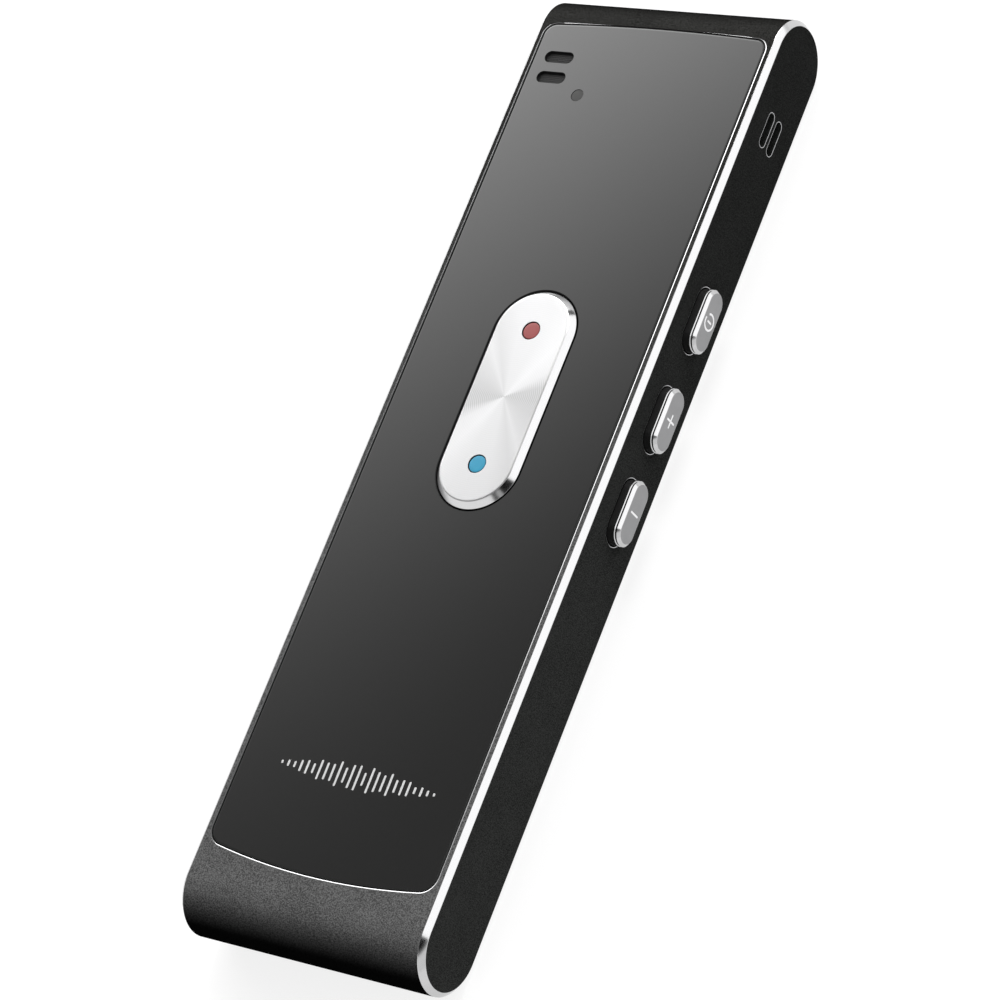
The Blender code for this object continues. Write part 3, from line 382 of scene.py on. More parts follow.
def ring(axis, outline, level_at):
    """Points of an outline at one level of the axis that it crosses."""
    if axis == "X":
        return [(level_at, u, v) for u, v in outline]
    if axis == "Y":
        return [(u, level_at, v) for u, v in outline]
    return [(u, v, level_at) for u, v in outline]


def soften(profile, radius):
    """Round the inner corners of an open profile of (inset, level) pairs."""
    soft = [profile[0]]
    for before, corner, after in zip(profile, profile[1:], profile[2:]):
        corner = Vector(corner)
        start = Vector(before) - corner
        end = Vector(after) - corner
        reach = min(radius, start.length / 2, end.length / 2)
        start.length = reach
        end.length = reach
        for t in spread(0, 1, SOFT_STEPS):
            soft.append(tuple(corner + start * (1 - t) ** 2 + end * t ** 2))
    return soft + [profile[-1]]


def is_slanted(low, high):
    """Whether the band between two (inset, level) pairs slopes as a chamfer does."""
    across = abs(high[0] - low[0])
    along = abs(high[1] - low[1])
    return min(across, along) > SLANT_SHARE * max(across, along)


def add_object(name, shape, finishes):
    """Object of a closed shape, with the named finishes in its material slots."""
    bmesh.ops.recalc_face_normals(shape, faces=shape.faces)
    mesh = bpy.data.meshes.new(name)
    shape.to_mesh(mesh)
    shape.free()
    for name_of_finish in finishes:
        mesh.materials.append(finish(name_of_finish))
    obj = bpy.data.objects.new(name, mesh)
    bpy.context.scene.collection.objects.link(obj)
    return obj


def loft(name, rings, finishes, bands=None, ends=(0, 0)):
    """Closed solid through rings of equally many points; bands and ends are finish numbers."""
    shape = bmesh.new()
    loops = [[shape.verts.new(point) for point in points] for points in rings]
    size = len(loops[0])
    for number, (low, high) in enumerate(zip(loops, loops[1:])):
        for i in range(size):
            j = (i + 1) % size
            face = shape.faces.new((low[i], low[j], high[j], high[i]))
            face.material_index = bands[number] if bands else 0
    shape.faces.new(loops[0][::-1]).material_index = ends[0]
    shape.faces.new(loops[-1]).material_index = ends[1]
    return add_object(name, shape, finishes)


def swept(name, axis, outline, profile, finishes, ends=(0, 0)):
    """Solid whose outline follows (inset, level) pairs; its slopes take the second finish."""
    rings = [ring(axis, outline(inset), at) for inset, at in profile]
    last = len(finishes) - 1
    bands = [min(last, int(is_slanted(*pair))) for pair in zip(profile, profile[1:])]
    return loft(name, rings, finishes, bands, ends)


def prism(name, outline, low, high, *finishes):
    """Upright solid of one outline between two heights."""
    return loft(name, [ring("Z", outline, low), ring("Z", outline, high)], finishes)


def turned(name, x, y, profile, *finishes):
    """Solid turned about an upright axis, through pairs of radius and height."""
    return loft(name, [ring("Z", circle(x, y, radius), z) for radius, z in profile], finishes)


def carve(target, tool, operation="DIFFERENCE"):
    """Cut a tool solid out of the target, or join it on; its own finishes come with it."""
    tool.hide_render = True
    tool.display_type = "WIRE"
    modifier = target.modifiers.new(tool.name, "BOOLEAN")
    modifier.operation = operation
    modifier.solver = "EXACT"
    modifier.material_mode = "TRANSFER"
    modifier.object = tool


def cut_out(target, name, axis, outline, profile, *finishes):
    """Carve a swept tool out of the target."""
    carve(target, swept(name, axis, outline, profile, finishes))


def made_plain(obj):
    """Turn what an object's modifiers make into its plain mesh, and take its tools away."""
    tools = [m.object for m in obj.modifiers if m.type == "BOOLEAN"]
    evaluated = obj.evaluated_get(bpy.context.evaluated_depsgraph_get())
    mesh = bpy.data.meshes.new_from_object(evaluated)
    if not mesh.polygons:
        raise RuntimeError(f"{obj.name} has lost all its faces")
    obj.modifiers.clear()
    obj.data = mesh
    for tool in tools:
        bpy.data.objects.remove(tool, do_unlink=True)
    return obj


def settle(obj, body, slot, *nodes):
    """Shade a finished piece, and tie it to its body and the CAD nodes it replaces; its slot is
    not used.
    """
    made_plain(obj)
    obj.data.shade_smooth()
    obj.data.set_sharp_from_angle(angle=SHARP_ANGLE)
    shading = obj.modifiers.new("shading", "WEIGHTED_NORMAL")
    shading.keep_sharp = True
    shading.weight = 100
    made_plain(obj)
    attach(obj, body)
    if nodes:
        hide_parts(*nodes)
    return obj


# Node trees written as plain sums

class Wire:
    """An output socket; sums on it add Math nodes to its tree."""

    def __init__(self, nodes, socket):
        self.nodes = nodes
        self.socket = socket

    def other(self, name):
        """Another output of the same node."""
        return Wire(self.nodes, self.socket.node.outputs[name])

    def __add__(self, value):
        return self.nodes.math("ADD", self, value)

    def __radd__(self, value):
        return self.nodes.math("ADD", value, self)

    def __sub__(self, value):
        return self.nodes.math("SUBTRACT", self, value)

    def __rsub__(self, value):
        return self.nodes.math("SUBTRACT", value, self)

    def __mul__(self, value):
        return self.nodes.math("MULTIPLY", self, value)

    def __rmul__(self, value):
        return self.nodes.math("MULTIPLY", value, self)

    def __truediv__(self, value):
        return self.nodes.math("DIVIDE", self, value)

    def __rtruediv__(self, value):
        return self.nodes.math("DIVIDE", value, self)


class Nodes:
    """Adds nodes to one tree."""

    def __init__(self, tree):
        self.tree = tree

    def add(self, kind, settings=None, inputs=None, output=0):
        """Add a node: its settings first, then the values or links of its sockets."""
        node = self.tree.nodes.new(kind)
        for name, value in (settings or {}).items():
            if name == "stops":
                set_stops(node.color_ramp, value)
            else:
                setattr(node, name, value)
        for socket, value in (inputs or {}).items():
            self.feed(node.inputs[socket], value)
        return Wire(self, node.outputs[output]) if node.outputs else node

    def feed(self, socket, value):
        """Link a wire to a socket, or set the socket's value."""
        if isinstance(value, Wire):
            self.tree.links.new(value.socket, socket)
        else:
            socket.default_value = value

    def math(self, operation, *values):
        """Math node of one operation."""
        return self.add("ShaderNodeMath", {"operation": operation}, dict(enumerate(values)))

    def smooth_step(self, value, low, high):
        """0 below low and 1 above high, smooth in between."""
        return self.add("ShaderNodeMapRange", {"interpolation_type": "SMOOTHSTEP"},
                        {"Value": value, "From Min": low, "From Max": high})


def set_stops(ramp, stops):
    """Give a colour ramp its stops, as pairs of place and colour."""
    while len(ramp.elements) < len(stops):
        ramp.elements.new(1)
    for element, (place, shade) in zip(ramp.elements, stops):
        element.position = place
        element.color = (*shade, 1)


class Finish(Nodes):
    """Material of one finish in the making."""

    def __init__(self, name):
        self.material = bpy.data.materials.new(name)
        self.material.use_nodes = True
        super().__init__(self.material.node_tree)
        self.shader = self.tree.nodes["Principled BSDF"]
        self.place = self.add("ShaderNodeTexCoord", output="Object")

    def surface(self, **inputs):
        """Feed the shader's sockets, named with underscores for spaces."""
        for name, value in inputs.items():
            self.feed(self.shader.inputs[name.replace("_", " ")], value)
        return self.material

    def noise(self, size, detail=2.0, stretch=None, roughness=0.5):
        """Noise whose blots have about the given size in metres."""
        place = self.place
        if stretch:
            place = self.add("ShaderNodeMapping", {}, {"Vector": place, "Scale": stretch})
        return self.add("ShaderNodeTexNoise", {}, {"Vector": place, "Scale": 1 / size,
                                                   "Detail": detail, "Roughness": roughness})

    def blend(self, factor, first, second):
        """Colour between two colours."""
        return self.add("ShaderNodeMix", {"data_type": "RGBA"},
                        {0: factor, 6: as_colour(first), 7: as_colour(second)}, output=2)

    def relief(self, height, depth, strength=1.0):
        """Normal of a height from 0 to 1 that stands depth metres tall."""
        return self.add("ShaderNodeBump", {}, {"Height": height, "Distance": depth,
                                               "Strength": strength})


def as_colour(value):
    """A colour with its alpha, or the wire as it is."""
    return value if isinstance(value, Wire) else (*value, 1)


def shaded(shade, share):
    """A colour made lighter or darker by a share."""
    return tuple(min(1.0, part * share) for part in shade)


# Finishes of the outside

# How much the pits of the blasted grain darken the metal, and its crests lighten it
PIT_SHARE, CREST_SHARE = 0.48, 0.60
CLOUD_SIZE = 30


def blasted_metal(name, lower, upper, grain, depth, painted_under_colour=None):
    """Anodised metal with a fine blasted grain, from its lower to its upper shade along the body
    as painted light and shade, and turning to painted shade of its underside, if given, round the
    ends."""
    look = Finish(name)
    along = look.add("ShaderNodeSeparateXYZ", {}, {"Vector": look.place}).other("Y")
    # Painted light and shade: the colour is lighter towards the lower end and darker towards the
    # upper end
    shade = look.blend(look.smooth_step(along, -END_Y / 2, END_Y * 3 / 4), lower, upper)
    if painted_under_colour is not None:
        # Painted shade: the round ends darken towards the underside between two heights
        tall = look.add("ShaderNodeSeparateXYZ", {}, {"Vector": look.place}).other("Z")
        over = look.math("MAXIMUM", (tall - PAINTED_SHADE_LOW_Z) / (PAINTED_SHADE_HIGH_Z - PAINTED_SHADE_LOW_Z), 0.0)
        over = look.math("MINIMUM", over, 1.0)
        shade = look.blend(over * over, painted_under_colour, shade)
    fine = look.noise(grain, detail=1.0)
    cloud = look.noise(grain * CLOUD_SIZE, detail=2.0)
    pits = look.smooth_step(fine + cloud * 0.15, 0.34, 0.80)
    dark = look.add("ShaderNodeMix", {"data_type": "RGBA", "blend_type": "MULTIPLY"},
                    {0: PIT_SHARE, 6: shade, 7: (0, 0, 0, 1)}, output=2)
    light = look.add("ShaderNodeMix", {"data_type": "RGBA", "blend_type": "ADD"},
                     {0: CREST_SHARE, 6: shade, 7: shade}, output=2)
    return look.surface(
        Base_Color=look.blend(pits, dark, light),
        Roughness=0.52 + fine * 0.16,
        Specular_IOR_Level=0.0,
        Normal=look.relief(fine, depth, 1.0),
    )


def polished_cut(name, shade, roughness):
    """Bright cut metal with faint tool lines along the edge."""
    look = Finish(name)
    lines = look.noise(0.00006, detail=1.0, stretch=(1, 0.03, 1))
    smear = look.noise(0.0022, detail=2.0)
    return look.surface(
        Base_Color=look.blend(smear, shaded(shade, 0.94), shade),
        Roughness=roughness + lines * 0.06 + smear * 0.05,
        Metallic=1.0,
        Normal=look.relief(lines, 0.0000015, 0.6),
    )


def glossy_face(name, shade):
    """Glass over a dark ground with a very fine fleck."""
    look = Finish(name)
    fleck = look.smooth_step(look.noise(0.00009, detail=1.0), 0.60, 0.85)
    haze = look.noise(0.012, detail=3.0)
    return look.surface(
        Base_Color=look.blend(fleck, shade, shaded(shade, 2.2)),
        Roughness=0.02 + haze * 0.03,
        Specular_IOR_Level=1.0,
    )


# Lightness painted on the spun face along half a turn from +X: a painted highlight where its cone
# of light falls
SPUN_PAINTED_HIGHLIGHT = ((0.0, 0.70), (0.12, 0.71), (0.22, 0.95), (0.33, 1.0), (0.44, 0.92), (0.56, 0.90),
             (0.65, 0.80), (0.70, 0.88), (0.75, 0.80), (0.88, 0.73), (1.0, 0.70))


def spun_face(name, shade, pitch):
    """Bright metal turned in rings about the middle of the rocker, with its cone of light as a
    painted highlight.
    """
    look = Finish(name)
    centred = look.add("ShaderNodeVectorMath", {"operation": "SUBTRACT"},
                       {0: look.place, 1: (0, CAP_Y, 0)})
    parts = look.add("ShaderNodeSeparateXYZ", {}, {"Vector": centred})
    x, y = parts, parts.other("Y")
    radius = look.math("SQRT", x * x + y * y)
    turn = look.math("ARCTAN2", y, x)
    rings = look.math("SINE", radius * (2 * math.pi / pitch)) * 0.5 + 0.5
    tool = look.math("SINE", radius * (2 * math.pi / (pitch * 0.31))) * 0.5 + 0.5

    half_turn = look.math("FRACT", turn / math.pi)
    # Painted highlight: the colour follows the turn about the middle, brightest where the cone of
    # light falls
    cone = look.add("ShaderNodeValToRGB", {"stops": [
        (place, shaded(shade, light)) for place, light in SPUN_PAINTED_HIGHLIGHT]}, {"Fac": half_turn})
    # Painted reflection: inside the narrow band of the highlight the rings turn light and dark;
    # elsewhere only their own faint tone and the grain show
    painted_highlight_wedge = 1 - look.smooth_step(look.math("PINGPONG", half_turn - 0.06, 0.5), 0.06, 0.15)
    grain = look.noise(0.00012, detail=1.0)
    dark = painted_highlight_wedge * (rings - 0.5) * 0.42 + rings * 0.04 + grain * 0.04
    return look.surface(
        Base_Color=look.blend(dark + 0.10, cone, shaded(shade, 0.2)),
        Roughness=0.30 + rings * 0.05,
        Metallic=0.80,
        Normal=look.relief(tool, 0.000002, 0.35),
    )


def satin_metal(name, shade):
    """Blasted light metal, as on the faces of the buttons."""
    look = Finish(name)
    fine = look.noise(0.00007, detail=1.0)
    cloud = look.noise(0.0015, detail=2.0)
    return look.surface(
        Base_Color=look.blend(cloud * 0.5 + fine * 0.5, shaded(shade, 0.85), shaded(shade, 1.15)),
        Roughness=0.30 + fine * 0.12,
        Metallic=1.0,
        Normal=look.relief(fine, 0.000003, 0.5),
    )


def enamel(name, shade):
    """Filled enamel with a faint pooling towards its edge."""
    look = Finish(name)
    pool = look.noise(0.0009, detail=2.0)
    fine = look.noise(0.00006, detail=0.0)
    return look.surface(
        Base_Color=look.blend(pool, shaded(shade, 0.88), shaded(shade, 1.10)),
        Roughness=0.30 + fine * 0.12,
        Specular_IOR_Level=0.25,
        Coat_Weight=0.05,
        Normal=look.relief(pool, 0.000008, 0.4),
    )


def moulded(name, shade, roughness=0.5, grain=0.00012, depth=0.000006):
    """Moulded plastic or rubber with a spark-eroded grain."""
    look = Finish(name)
    fine = look.noise(grain, detail=2.0)
    cloud = look.noise(grain * 40, detail=2.0)
    return look.surface(
        Base_Color=look.blend(fine * 0.5 + cloud * 0.5, shaded(shade, 0.82), shaded(shade, 1.18)),
        Roughness=roughness - 0.06 + fine * 0.12,
        Specular_IOR_Level=0.35,
        Normal=look.relief(fine, depth, 0.7),
    )


def plated(name, shade, roughness=0.28, stretch=(1, 0.05, 1), metallic=1.0):
    """Plated sheet metal, brushed along its length."""
    look = Finish(name)
    brush = look.noise(0.00008, detail=2.0, stretch=stretch)
    stain = look.noise(0.003, detail=3.0)
    return look.surface(
        Base_Color=look.blend(stain, shaded(shade, 0.86), shaded(shade, 1.06)),
        Roughness=roughness + brush * 0.10 + stain * 0.06,
        Metallic=metallic,
        Normal=look.relief(brush, 0.000003, 0.5),
    )


def smoked_window(name, shade):
    """Smoked clear plastic with a diffusing core."""
    look = Finish(name)
    core = look.noise(0.00035, detail=2.0)
    return look.surface(
        Base_Color=look.blend(core, shaded(shade, 0.85), shaded(shade, 1.15)),
        Roughness=0.32 + core * 0.08,
        Specular_IOR_Level=0.30,
    )


def open_foam(name, shade):
    """Foam with open cells."""
    look = Finish(name)
    cells = look.add("ShaderNodeTexVoronoi", {"feature": "F1"},
                     {"Vector": look.place, "Scale": 1 / 0.00025})
    return look.surface(
        Base_Color=look.blend(cells, shaded(shade, 0.5), shaded(shade, 1.5)),
        Roughness=0.95,
        Normal=look.relief(cells, 0.00008, 1.0),
    )


def solder_mask(name, shade):
    """Green mask over copper tracks."""
    look = Finish(name)
    tracks = look.add("ShaderNodeTexBrick", {"offset": 0.37, "squash": 1.6}, {
        "Vector": look.place, "Scale": 1 / 0.0016, "Mortar Size": 0.06, "Mortar Smooth": 0.1,
        "Brick Width": 1.4, "Row Height": 0.35}, output="Fac")
    weave = look.noise(0.0004, detail=2.0)
    ground = look.blend(weave, shaded(shade, 0.8), shaded(shade, 1.15))
    return look.surface(
        Base_Color=look.blend(tracks, ground, shaded(shade, 2.1)),
        Roughness=0.34 + weave * 0.08,
        Normal=look.relief(tracks, 0.00002, 0.6),
    )


def foil_pouch(name, shade):
    """Laminated foil, softly crinkled."""
    look = Finish(name)
    crinkle = look.noise(0.0035, detail=4.0, roughness=0.6)
    fine = look.noise(0.00015, detail=1.0)
    return look.surface(
        Base_Color=look.blend(crinkle, shaded(shade, 0.88), shaded(shade, 1.08)),
        Roughness=0.30 + fine * 0.12,
        Metallic=0.85,
        Normal=look.relief(crinkle, 0.00012, 0.5),
    )


# Family and grain of each material slot of the record
RESIN = {"roughness": 0.42, "grain": 0.00006, "depth": 0.000003}
RUBBER = {"roughness": 0.85, "grain": 0.0001, "depth": 0.00001}
CERAMIC = {"roughness": 0.6, "grain": 0.0002, "depth": 0.000008}
INSULATION = {"roughness": 0.34, "grain": 0.0003, "depth": 0.000004}
SLOT_FAMILIES = {
    "black_plastic": (moulded, {}),
    "cream_plastic": (moulded, {}),
    "soft_rubber": (moulded, RUBBER),
    "black_foam": (open_foam, {}),
    "board_laminate": (solder_mask, {}),
    "chip_resin": (moulded, RESIN),
    "tinned_steel": (plated, {}),
    "plain_steel": (plated, {}),
    "black_steel": (plated, {}),
    "pale_ceramic": (moulded, CERAMIC),
    "battery_pouch": (foil_pouch, {}),
    "red_insulation": (moulded, INSULATION),
    "black_insulation": (moulded, INSULATION),
}

# Shades that no setting holds
HOLE_EDGE_SHADE = (0.50, 0.50, 0.51)
MARK_SHADE = (0.88, 0.88, 0.89)
MATT_SHADE = (0.003, 0.003, 0.003)
MESH_SHADE = (0.008, 0.008, 0.008)
SMOKE_SHADE = (0.028, 0.028, 0.027)
# Share of the sides' colour at the upper end: painted shade darkens the flat sides towards that
# end
UPPER_SIDE_PAINTED_SHADE = 0.62


def outside_finish(name):
    """Finish of the outside by its name, in the colours of the settings."""
    scene = bpy.context.scene
    shell, face = scene.translator_shell, scene.translator_face
    rocker, button = scene.translator_rocker, scene.translator_button
    side = shell.side_colour
    family, *values = {
        # Painted light and shade along the shell, and painted shade round its ends below
        "blasted_shell": (blasted_metal, shell.lower_painted_light, shell.upper_painted_shade, 0.00017,
                          0.00005, shell.underside_painted_shade),
        # Painted shade: the flat sides darken towards the upper end
        "side_shell": (blasted_metal, side, shaded(side, UPPER_SIDE_PAINTED_SHADE), 0.00014, 0.00002),
        "bright_cut": (polished_cut, shell.cut_colour, 0.10),
        "hole_edge": (polished_cut, HOLE_EDGE_SHADE, 0.30),
        "mark_cut": (polished_cut, MARK_SHADE, 0.22),
        "face_gloss": (glossy_face, face.glass_colour),
        "voice_print": (moulded, face.mark_colour, 0.4, 0.00008, 0.000002),
        "spun_rings": (spun_face, rocker.spun_colour, rocker.ring_pitch),
        "red_fill": (enamel, rocker.red),
        "blue_fill": (enamel, rocker.blue),
        "satin_key": (satin_metal, button.satin_colour),
        "matt_black": (moulded, MATT_SHADE, 0.6, 0.0002, 0.000002),
        "slot_mesh": (moulded, MESH_SHADE, 0.6, 0.0002, 0.000002),
        "smoked_light": (smoked_window, SMOKE_SHADE),
        "grained_cover": (moulded, scene.translator_back.cover_colour, 0.55, 0.00022, 0.000018),
        "gold_plate": (plated, scene.translator_socket.gold, 0.2),
    }[name]
    return family(name, *values)


finishes_made = {}


def finish(name):
    """Material of a finish, made the first time that it is asked for."""
    if name not in finishes_made:
        if name in SLOT_FAMILIES:
            shades = {m["slot"]: tuple(m["base_color"]) for m in frame["record"]["materials"]}
            family, grain = SLOT_FAMILIES[name]
            finishes_made[name] = family(f"{name}_finish", shades[name], **grain)
        else:
            finishes_made[name] = outside_finish(name)
    return finishes_made[name]


# Geometry Nodes for what repeats

SOCKET_KINDS = {
    float: "NodeSocketFloat",
    int: "NodeSocketInt",
    Vector: "NodeSocketVector",
    bpy.types.Material: "NodeSocketMaterial",
    bpy.types.Object: "NodeSocketObject",
}


class Pattern(Nodes):
    """Geometry Nodes tree with named inputs, for something that repeats."""

    def __init__(self, name, inputs):
        tree = bpy.data.node_groups.new(name, "GeometryNodeTree")
        super().__init__(tree)
        tree.interface.new_socket("Geometry", in_out="OUTPUT", socket_type="NodeSocketGeometry")
        tree.interface.new_socket("Geometry", in_out="INPUT", socket_type="NodeSocketGeometry")
        self.given = dict(inputs)
        for label, value in inputs.items():
            kind = next(k for t, k in SOCKET_KINDS.items() if isinstance(value, t))
            tree.interface.new_socket(label, in_out="INPUT", socket_type=kind)
        self.entry = tree.nodes.new("NodeGroupInput")

    def value(self, label):
        """Wire from a named input."""
        return Wire(self, self.entry.outputs[label])

    def repeat(self, points, part):
        """A part on each point, realised."""
        instances = self.add("GeometryNodeInstanceOnPoints", {},
                             {"Points": points, "Instance": part})
        return self.add("GeometryNodeRealizeInstances", {}, {"Geometry": instances})

    def end(self, geometry):
        """Close the tree with realised geometry in the input's material."""
        real = self.add("GeometryNodeRealizeInstances", {}, {"Geometry": geometry})
        painted = self.add("GeometryNodeSetMaterial", {},
                           {"Geometry": real, "Material": self.value("Material")})
        self.add("NodeGroupOutput", {}, {"Geometry": painted})

    def run_on(self, obj):
        """Put the tree on an object with its inputs, and turn the result into a plain mesh."""
        modifier = obj.modifiers.new(self.tree.name, "NODES")
        modifier.node_group = self.tree
        for item in self.tree.interface.items_tree:
            if item.in_out == "INPUT" and item.name in self.given:
                modifier[item.identifier] = self.given[item.name]
        return made_plain(obj)


def perforate(sheet, middle, columns, rows, pitch, radius, depth, sides, material):
    """Cut a grid of round holes into a flat sheet, to a depth on both sides of the middle."""
    pattern = Pattern("Perforated sheet", {
        "Middle": Vector(middle), "Columns": columns, "Rows": rows, "Pitch": pitch,
        "Hole radius": radius, "Hole sides": sides, "Depth": 2 * depth, "Material": material,
    })
    value = pattern.value
    grid = pattern.add("GeometryNodeMeshGrid", {}, {
        "Size X": (value("Columns") - 1) * value("Pitch"),
        "Size Y": (value("Rows") - 1) * value("Pitch"),
        "Vertices X": value("Columns"), "Vertices Y": value("Rows")})
    placed = pattern.add("GeometryNodeTransform", {}, {"Geometry": grid,
                                                       "Translation": value("Middle")})
    drill = pattern.add("GeometryNodeMeshCylinder", {"fill_type": "NGON"}, {
        "Vertices": value("Hole sides"), "Radius": value("Hole radius"),
        "Depth": value("Depth")})
    holes = pattern.repeat(placed, drill)
    cut = pattern.add("GeometryNodeMeshBoolean", {"operation": "DIFFERENCE", "solver": "EXACT"},
                      {"Mesh 1": value("Geometry"), "Mesh 2": holes})
    pattern.end(cut)
    return pattern.run_on(sheet)


def empty_object(name, points=((0, 0, 0),)):
    """Object of loose points, for a pattern to build on."""
    mesh = bpy.data.meshes.new(name)
    mesh.from_pydata([tuple(point) for point in points], [], [])
    obj = bpy.data.objects.new(name, mesh)
    bpy.context.scene.collection.objects.link(obj)
    return obj


# Pieces

class TRANSLATOR_OT_shell(bpy.types.Operator):
    """Build the metal shell with its bright cuts, holes and screw bosses"""

    bl_idname = "translator.shell"
    bl_label = "Shell"

    def execute(self, context):
        shell = context.scene.translator_shell
        body = self.block(shell)
        self.pockets(body, shell)
        self.bosses(body)
        self.side_holes(body, shell)
        port = drawn_in(stadium, 0, MID_Z, SOCKET_HIGH.x + FACE_GAP,
                        SOCKET_HIGH.z - MID_Z + FACE_GAP)
        cut_out(body, "port", "Y", port, [(0, END_Y - END_WALL - OVERRUN), (0, END_Y + OVERRUN)],
                "side_shell")
        settle(body, "casing", "anodised_shell", "housing")
        return {"FINISHED"}

    def block(self, shell):
        """Solid block with round ends and its bright cuts along both sides."""
        cut, soft = shell.chamfer, shell.softness
        land = 3 * soft
        profile = soften([
            (cut + land, -SIDE_X), (cut, -SIDE_X), (0, cut - SIDE_X),
            (0, SIDE_X - cut), (cut, SIDE_X), (cut + land, SIDE_X),
        ], soft)
        rings = [ring("X", side_outline(inset), x) for inset, x in profile]
        bands = []
        for low, high in zip(profile, profile[1:]):
            on_side = min(abs(low[1]), abs(high[1])) > SIDE_X - soft
            bands.append(2 if is_slanted(low, high) else int(on_side))
        return loft("shell", rings, ("blasted_shell", "side_shell", "bright_cut"), bands, (1, 1))

    def pockets(self, body, shell):
        """The hollow, and the openings of the face with its rim and of the rear cover."""
        hollow = drawn_in(stadium, 0, MID_Z, END_Y - END_WALL, MID_Z - END_WALL)
        cut_out(body, "hollow", "X", hollow, [(0, -INNER_X), (0, INNER_X)], "side_shell")
        inset, edge = shell.rim_inset, shell.hole_edge
        slope = shell.rim_width / shell.rim_drop
        cut_out(body, "glass_pocket", "Z", face_outline, [
            (inset, GLASS_LOW_Z - GLASS_SEAT), (inset, FACE_Z - shell.rim_drop),
            (inset - shell.rim_width - SMALL_OVERRUN * slope, FACE_Z + SMALL_OVERRUN),
        ], "side_shell", "bright_cut")
        cut_out(body, "cover_pocket", "Z", face_outline, [
            (-edge - SMALL_OVERRUN, -SMALL_OVERRUN), (0, edge), (0, COVER_SEAT_Z),
        ], "side_shell", "hole_edge")
        cut_out(body, "window", "Z", face_outline,
                [(LEDGE_WIDTH, -OVERRUN), (LEDGE_WIDTH, FACE_Z + OVERRUN)], "side_shell")

    def bosses(self, body):
        """Four screw bosses, bored from below for the cover and from above for the board."""
        board_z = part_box("circuit_board")[0].z
        half = (INNER_X + WALL_BITE - BOSS_X + BOSS_HALF_WIDTH) / 2
        middle = BOSS_X - BOSS_HALF_WIDTH + half
        spans = ((-OVERRUN, COVER_SEAT_Z + BORE_DEPTH), (board_z - BORE_DEPTH, board_z))
        for end in (-1, 1):
            for side in (-1, 1):
                block = rounded_box(side * middle, end * BOSS_Y, half, BOSS_HALF_WIDTH,
                                    BOSS_CORNER)
                carve(body, prism(f"boss_{end}_{side}", block, COVER_SEAT_Z, board_z - FACE_GAP,
                                  "side_shell"), "UNION")
                bore = circle(side * BOSS_X, end * BOSS_Y, BORE_RADIUS)
                for number, span in enumerate(spans):
                    carve(body, prism(f"bore_{end}_{side}_{number}", bore, *span, "side_shell"))

    def side_holes(self, body, shell):
        """Button holes and strap slots, each with a bright flat bevel at its mouth."""
        edge, slope = shell.hole_edge, shell.edge_slope
        mouth = [(0, INNER_X - OVERRUN), (0, SIDE_X - edge / slope),
                 (-edge - SMALL_OVERRUN * slope, SIDE_X + SMALL_OVERRUN)]
        holes = {}
        for key in KEYS:
            y, half_length, radius = button_place(key)
            holes[f"{key}_hole"] = (y, MID_Z, half_length + SLIDE_GAP, radius + SLIDE_GAP)
        for side in (-1, 1):
            holes[f"strap_slot_{side}"] = (STRAP_Y, MID_Z + side * STRAP_OFFSET,
                                           STRAP_HALF_LENGTH, STRAP_RADIUS)
        for name, place in holes.items():
            cut_out(body, name, "X", drawn_in(stadium, *place), mouth, "side_shell", "hole_edge")


# How the bars of the voice mark swell and fade: turn and start of the ripple in radians, its
# share of a bar's height, and the share that every bar has
RIPPLE_PACE, RIPPLE_START = 1.17, 0.6
RIPPLE_SHARE, LEAST_SHARE = 0.65, 0.04


